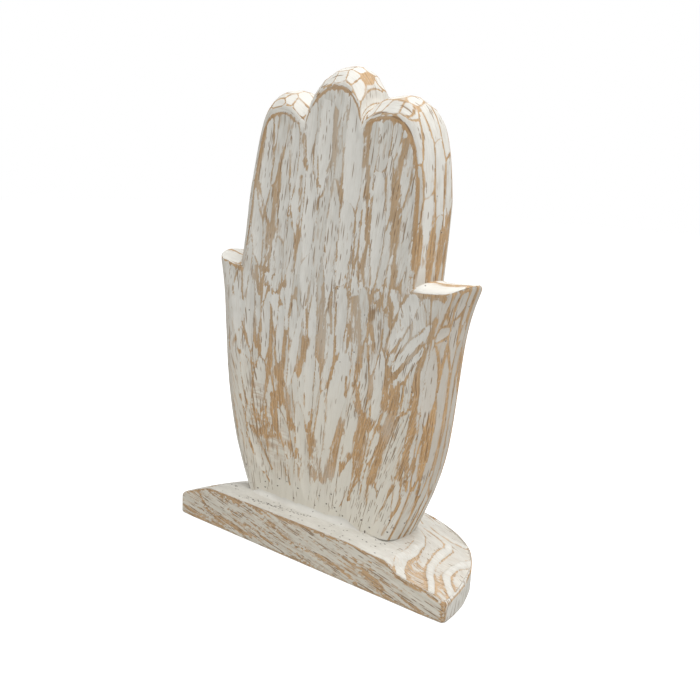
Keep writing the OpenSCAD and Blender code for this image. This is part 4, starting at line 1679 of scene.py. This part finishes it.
class Graph:
    """The nodes of a material or of the world, with short calls that add and join them."""

    def __init__(self, owner):
        self.owner = owner
        owner.use_nodes = True
        self.tree = owner.node_tree
        self.tree.nodes.clear()

    def add(self, kind, inputs=None, **settings):
        """A new node, with its settings, and with its inputs set or joined to values."""
        made = self.tree.nodes.new("ShaderNode" + kind)
        for key, value in settings.items():
            setattr(made, key, value)
        for key, value in (inputs or {}).items():
            if isinstance(value, Value):
                self.tree.links.new(value.socket, made.inputs[key])
            else:
                made.inputs[key].default_value = value
        return made

    def value(self, kind, inputs=None, output=0, **settings):
        """One output of a new node."""
        return Value(self, self.add(kind, inputs, **settings).outputs[output])

    def surface(self, **inputs):
        """Ends a material's nodes with one surface shader, and returns the material."""
        named = {key.replace("_", " "): value for key, value in inputs.items()}
        self.add("OutputMaterial", {"Surface": self.value("BsdfPrincipled", named)})
        return self.owner

    def attribute(self, name):
        """A number that the mesh carries."""
        return self.value("Attribute", output="Fac", attribute_name=name)

    def math(self, operation, a, b=0.0):
        """The result of a sum or a comparison."""
        return self.value("Math", {0: a, 1: b}, operation=operation)

    def blend(self, share, a, b):
        """The number a where share is 0, and b where it is 1."""
        return self.value("Mix", {0: share, 2: a, 3: b}, data_type="FLOAT")

    def mix(self, share, a, b):
        """The colour a where share is 0, and b where it is 1."""
        return self.value("Mix", {0: share, 6: a, 7: b}, output=2, data_type="RGBA")

    def millimetres(self):
        """Place in the part's frame, in millimetres."""
        place = self.value("TexCoord", output="Object")
        return self.value("VectorMath", {0: place, "Scale": 1 / MM}, operation="SCALE")

    def scaled(self, place, size):
        """A place counted in cells of this size."""
        inverse = tuple(1 / s for s in size)
        return self.value("VectorMath", {0: place, 1: inverse}, operation="MULTIPLY")

    def noise(self, place, size, detail=2.0, roughness=0.5):
        """Noise from 0 to 1 with lumps of this size in mm along the three axes."""
        inputs = {"Vector": self.scaled(place, size), "Scale": 1.0, "Detail": detail, "Roughness": roughness}
        return self.value("TexNoise", inputs, "Fac")

    def cells(self, place, size):
        """Random cells of this size in mm: the distance from a cell's seed, and a number drawn for it."""
        made = self.add("TexVoronoi", {"Vector": self.scaled(place, size), "Scale": 1.0})
        colour = Value(self, made.outputs["Color"])
        return Value(self, made.outputs["Distance"]), self.value("SeparateColor", {0: colour})

    def specks(self, place, size, radius, share):
        """1 in sparse specks of this radius, as a share of the cell size: so many of the cells have one."""
        distance, draw = self.cells(place, size)
        return distance.rise(0.6 * radius, radius, 1.0, 0.0) * self.math("LESS_THAN", draw, share)

    def bump(self, height, distance, strength):
        """Surface direction with fine relief from a height."""
        return self.value("Bump", {"Height": height, "Distance": distance, "Strength": strength})


# Colours of the paint, the wood, the filler, the dowels and the screws, and of the painted shade on palm
# edges and in pinholes
PAINT_GREY = (0.60, 0.58, 0.525, 1)
PAINT_WHITE = (0.77, 0.755, 0.705, 1)
PAINT_CREAM = (0.75, 0.70, 0.585, 1)
# Taupe that darkens the base's paint in places and paints shade onto the hand's palm edges
PAINT_TAUPE_SHADE = (0.52, 0.46, 0.385, 1)
PAINT_SMUDGED = (0.50, 0.385, 0.275, 1)
WOOD_TAN = (0.60, 0.38, 0.19, 1)
WOOD_DEEP = (0.40, 0.24, 0.11, 1)
WOOD_HAZED = (0.43, 0.34, 0.24, 1)
FURROW_BROWN = (0.25, 0.155, 0.08, 1)
# Near black painted into pinholes as the shade inside them
PINHOLE_SHADE = (0.10, 0.075, 0.055, 1)
FILLER_GREY = (0.66, 0.64, 0.585, 1)
FILLER_WHITE = (0.77, 0.755, 0.70, 1)
DOWEL_PALE = (0.62, 0.43, 0.25, 1)
DOWEL_TAN = (0.50, 0.32, 0.17, 1)
ZINC_GREY = (0.60, 0.60, 0.58, 1)
ZINC_YELLOW = (0.56, 0.53, 0.44, 1)

# Paint edges, in mm: how far a ridge is seen, and how firmly a bare cut stays bare
RIDGE_SEEN = 1.3
BARE_EDGE = 0.25
BARE_MAX = 0.9


def grain_place(g, solid):
    """Grain coordinates from the mesh; a solid board's grain also has a depth."""
    depth = g.attribute("depth") if solid else 0.0
    return g.value("CombineXYZ", {0: g.attribute("flow"), 1: depth, 2: g.attribute("along")})


def wash_noises(g, place, rings):
    """Noise of several sizes along the grain, from 0 to 1. It is longer on a board that shows its rings."""
    tear = (1.3, 1.3, 15.0) if rings else (1.5, 1.5, 7.0)
    chip = (1.0, 1.0, 11.0) if rings else (1.4, 1.4, 4.5)
    return SimpleNamespace(
        broken=g.noise(place, tear, detail=4.0, roughness=0.65), chip=g.cells(place, chip)[1],
        fleck=g.noise(place, (0.7, 0.7, 1.9)), hair=g.noise(place, (0.5, 0.5, 9.0)),
        streak=g.noise(place, (0.8, 0.8, 13.0)), vein=g.noise(place, (0.8, 0.8, 11.0), detail=3.0),
        mottle=g.noise(place, (4.0, 4.0, 9.0), detail=4.0))


def ring_wear(g, place):
    """How strongly the growth rings are rubbed through the paint."""
    off_line = g.math("ABSOLUTE", g.math("FRACT", g.attribute("phase")) - 0.5)
    width = g.noise(place, (7.0, 7.0, 16.0)).rise(0.35, 0.65, 0.07, 0.22)
    line = 1.0 - (off_line / width).rise(0.2, 1.0)
    patchy = g.noise(place, (12.0, 12.0, 20.0)).rise(0.36, 0.62, 1.5, 3.2)
    return line * g.attribute("ring") * patchy


def paint_cover(g, place, noises, rings):
    """Share of the wood that paint hides, and the tone of the cut on this side of the nearest ridge."""
    signed, fray, speck = g.attribute("ridge"), g.attribute("fray"), g.attribute("speck")
    near = g.math("GREATER_THAN", signed)
    ridge = g.math("ABSOLUTE", signed)
    tone = g.blend(near, g.attribute("tone_far"), g.attribute("tone_near"))
    bare = g.blend(near, g.attribute("bare_far"), g.attribute("bare_near"))
    painted = g.math("MINIMUM", ridge, RIDGE_SEEN) - g.attribute("wear")
    rubbed = -BARE_EDGE - g.math("MINIMUM", ridge, BARE_MAX)
    ragged = 2.2 * (noises.broken - 0.5) + 1.4 * (noises.hair - 0.5)
    ragged += (0.4 + 2.5 * speck) * (noises.fleck - 0.5) + (1.0 + 1.5 * speck) * (noises.chip - 0.5)
    edge = g.blend(bare, painted, rubbed) + fray * ragged
    if rings:
        edge -= ring_wear(g, place)
    softness = g.noise(place, (16.0, 16.0, 24.0)).rise(0.4, 0.7, 0.22, 0.9)
    thin = tone.rise(0.3, 0.85, 1.0, 0.2) * (1.0 - g.attribute("smear"))
    veins = noises.vein.rise(0.52, 0.64, 0.0, 0.5) * thin * fray
    return (edge / softness).rise(-1.0, 1.0) * (1.0 - veins), tone


def hair_lines(g, place):
    """Thin brown dashes of open grain."""
    hairy = g.attribute("hairy")
    long = g.specks(place, (1.1, 1.1, 17.0), 0.36, 0.8 * hairy)
    short = g.specks(place, (0.9, 0.9, 6.0), 0.38, 0.45 * hairy)
    return g.math("MAXIMUM", long, short)


def pinholes(g, place):
    """Pinholes, sparse all over and close together where the mesh asks for them, darkened with painted shade.
    """
    sparse = g.specks(place, (5.0, 5.0, 5.0), 0.085, 0.16)
    return g.math("MAXIMUM", sparse, g.specks(g.millimetres(), (1.4, 1.0, 1.0), 0.5, g.attribute("pinholes")))


def bare_wood(g, noises):
    """Colour of the wood where it shows: streaky tan, flecked, hazed and filmed over with paint."""
    colour = g.mix(noises.streak.rise(0.4, 0.6), WOOD_TAN, WOOD_DEEP)
    colour = g.mix(noises.fleck.rise(0.54, 0.66, 0.0, 0.45), colour, PAINT_GREY)
    colour = g.mix(g.attribute("haze"), colour, WOOD_HAZED)
    colour = g.mix(g.attribute("film"), colour, PAINT_GREY)
    return g.mix(0.55 * g.attribute("rub"), colour, WOOD_DEEP)


def white_wash(g, noises, tone):
    """Colour of the paint: grey to white, tinted in places, darkened towards taupe on parts of the base and
    as painted shade on the hand's palm edges, and smudged sideways.
    """
    shade = 0.45 * tone + 0.8 * noises.mottle + 0.6 * (noises.hair - 0.5)
    colour = g.mix(shade.rise(0.2, 1.0), PAINT_GREY, PAINT_WHITE)
    colour = g.mix(g.attribute("cream"), colour, PAINT_CREAM)
    # Painted shade on the hand's palm edges, and taupe on parts of the base
    colour = g.mix(g.attribute("taupe_and_shade"), colour, PAINT_TAUPE_SHADE)
    brushed = g.noise(g.millimetres(), (11.0, 11.0, 2.0), detail=3.0).rise(0.42, 0.62)
    return g.mix(0.8 * g.attribute("smudge") * brushed, colour, PAINT_SMUDGED)


def whitewashed_wood(name, rings):
    """White wash over tan wood, laid by the mesh's attributes; rings adds the growth rings of a board."""
    g = Graph(bpy.data.materials.new(name))
    place = grain_place(g, solid=rings)
    noises = wash_noises(g, place, rings)
    cover, tone = paint_cover(g, place, noises, rings)
    furrow, holes = hair_lines(g, place), pinholes(g, place)
    colour = g.mix(cover, bare_wood(g, noises), white_wash(g, noises, tone))
    colour = g.mix(0.8 * furrow, colour, FURROW_BROWN)
    # Painted shade inside the pinholes
    colour = g.mix(0.85 * holes, colour, PINHOLE_SHADE)
    height = 0.35 * cover - 0.3 * furrow - holes + 0.35 * noises.hair
    return g.surface(
        Base_Color=colour, Roughness=cover.rise(0.0, 1.0, 0.65, 0.9),
        Normal=g.bump(height, 0.35 * MM, 0.8), Specular_IOR_Level=0.3)


def filler_material():
    """Matt white filler with brush marks, and pinholes darkened with painted shade."""
    g = Graph(bpy.data.materials.new("white_filler"))
    place = g.millimetres()
    mottle = g.noise(place, (6.0, 3.0, 3.0), detail=4.0)
    tone = 0.4 * g.attribute("tone") + 0.7 * mottle
    wash = g.mix(tone.rise(0.2, 0.9), FILLER_GREY, FILLER_WHITE)
    holes = g.specks(place, (2.6, 2.6, 2.6), 0.15, 0.4)
    # Painted shade inside the filler's pinholes
    return g.surface(
        Base_Color=g.mix(0.8 * holes, wash, PINHOLE_SHADE), Roughness=mottle.rise(0.0, 1.0, 0.8, 0.95),
        Normal=g.bump(mottle - holes, 0.3 * MM, 0.7), Specular_IOR_Level=0.3)


def dowel_material():
    """Plain turned hardwood with lengthwise grain."""
    g = Graph(bpy.data.materials.new("dowel_wood"))
    place = g.millimetres()
    grain = g.noise(place, (0.8, 0.8, 14.0), detail=4.0)
    pores = g.noise(place, (0.25, 0.25, 4.0))
    colour = g.mix(grain.rise(0.3, 0.7), DOWEL_PALE, DOWEL_TAN)
    colour = g.mix(pores.rise(0.6, 0.75, 0.0, 0.5), colour, WOOD_DEEP)
    return g.surface(
        Base_Color=colour, Roughness=grain.rise(0.0, 1.0, 0.55, 0.75),
        Normal=g.bump(pores, 0.1 * MM, 0.5), Specular_IOR_Level=0.4)


def screw_material():
    """Zinc-plated steel with turning marks and a faint yellow bloom."""
    g = Graph(bpy.data.materials.new("zinc_steel"))
    place = g.millimetres()
    bloom = g.noise(place, (2.5, 2.5, 2.5), detail=3.0)
    marks = g.noise(place, (3.0, 3.0, 0.15))
    colour = g.mix(bloom.rise(0.35, 0.7), ZINC_GREY, ZINC_YELLOW)
    return g.surface(
        Base_Color=colour, Roughness=marks.rise(0.2, 0.8, 0.28, 0.45),
        Normal=g.bump(marks, 0.05 * MM, 0.4), Metallic=1.0)


# Stage, light and camera

# Floor and room: half the floor's side in metres, and how bright they look
WHITE = (1, 1, 1, 1)
FLOOR_HALF = 3.0
FLOOR_GLOW = 0.84
FLOOR_PALE = (0.56, 0.56, 0.55, 1)
FLOOR_GREY = (0.42, 0.42, 0.42, 1)
WORLD_STRENGTH = 0.44

# Soft boxes above and in front of the part: place and side in metres, and power in watts
LAMP_AIM = (0, 0, 0.12)
LAMPS = {"top_box": ((0.40, 0.04, 1.2), 1.3, 15.8), "fill_box": ((0.2, -1.3, 0.7), 0.9, 3.5)}

# Camera, as the photograph's: the image's side and the focal length in pixels, the place that it looks at and
# its distance from there in mm, and its turn, rise and roll in degrees
IMAGE_SIDE = 700
FOCAL_PIXELS = 904.04
SENSOR_MM = 36.0
CLIP_START = 0.01
CAMERA_TARGET = (14.46, -25.0, 113.47)
CAMERA_AWAY = 459.15
CAMERA_TURN = 39.855
CAMERA_RISE = 11.736
CAMERA_ROLL = 2.718


def show_and_light(g, shown, lighting, output):
    """Shows one shader to rays that see the surface, also by way of a reflection or a clear piece, and sends
    the light of another to the rest."""
    path = g.add("LightPath")
    camera, glossy, clear = (
        Value(g, path.outputs[f"Is {kind} Ray"]) for kind in ("Camera", "Glossy", "Transmission"))
    seen = g.math("MAXIMUM", g.math("MAXIMUM", camera, glossy), clear)
    g.add(output, {"Surface": g.value("MixShader", {0: seen, 1: lighting, 2: shown})})


def add_floor():
    """A pale floor that looks white and keeps the object's faint shadow."""
    mesh = bpy.data.meshes.new("floor")
    corners = [(-1, -1), (1, -1), (1, 1), (-1, 1)]
    mesh.from_pydata([(x * FLOOR_HALF, y * FLOOR_HALF, 0) for x, y in corners], [], [(0, 1, 2, 3)])
    floor = add_object("floor", mesh)
    g = Graph(bpy.data.materials.new("pale_floor"))
    glow = g.value("Emission", {"Color": WHITE, "Strength": FLOOR_GLOW})
    shown = g.value("AddShader", {0: glow, 1: g.value("BsdfDiffuse", {"Color": FLOOR_GREY})})
    show_and_light(g, shown, g.value("BsdfDiffuse", {"Color": FLOOR_PALE}), "OutputMaterial")
    mesh.materials.append(g.owner)


def add_world():
    """A white room round the part."""
    world = bpy.data.worlds.new("studio")
    bpy.context.scene.world = world
    g = Graph(world)
    shown, lighting = (
        g.value("Background", {"Color": WHITE, "Strength": strength}) for strength in (1.0, WORLD_STRENGTH))
    show_and_light(g, shown, lighting, "OutputWorld")


def add_lamp(name, place, side, power):
    """A square soft box."""
    data = bpy.data.lights.new(name, "AREA")
    data.size = side
    data.energy = power
    lamp = add_object(name, data)
    lamp.location = place
    lamp.rotation_euler = (Vector(LAMP_AIM) - Vector(place)).to_track_quat("-Z", "Y").to_euler()


def add_camera():
    """The photograph's camera: turned to the right, a little above, and rolled by a few degrees."""
    turn, rise, roll = (math.radians(a) for a in (CAMERA_TURN, CAMERA_RISE, CAMERA_ROLL))
    back = Vector((math.sin(turn) * math.cos(rise), -math.cos(turn) * math.cos(rise), math.sin(rise)))
    right = (-back).cross(Vector((0, 0, 1))).normalized()
    up = right.cross(-back)
    rolled_right = math.cos(roll) * right + math.sin(roll) * up
    rolled_up = -math.sin(roll) * right + math.cos(roll) * up
    data = bpy.data.cameras.new("camera")
    data.sensor_width = SENSOR_MM
    data.lens = FOCAL_PIXELS / IMAGE_SIDE * SENSOR_MM
    data.clip_start = CLIP_START
    camera = add_object("camera", data)
    place = (Vector(CAMERA_TARGET) + CAMERA_AWAY * back) * MM
    axes = Matrix((rolled_right, rolled_up, back)).transposed().to_4x4()
    camera.matrix_world = Matrix.Translation(place) @ axes
    bpy.context.scene.camera = camera


def paint_fasteners(kind, material):
    """Gives the left and right CAD node of a kind of fastener its material."""
    for side in SIDES:
        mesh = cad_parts[f"{kind}_{side}"].data
        mesh.materials.clear()
        mesh.materials.append(material)


build_hand(whitewashed_wood("whitewashed_hand_wood", rings=False))
build_base(whitewashed_wood("whitewashed_base_wood", rings=True))
filler = filler_material()
build_filler("filler_rear", "seam_filler_rear", filler, hand_low[1], -1)
build_filler("filler_front", "seam_filler_front", filler, hand_high[1], 1)
paint_fasteners("dowel", dowel_material())
paint_fasteners("screw", screw_material())

add_floor()
add_world()
for lamp_name, lamp_values in LAMPS.items():
    add_lamp(lamp_name, *lamp_values)
add_camera()
bpy.context.scene.view_settings.view_transform = "Standard"
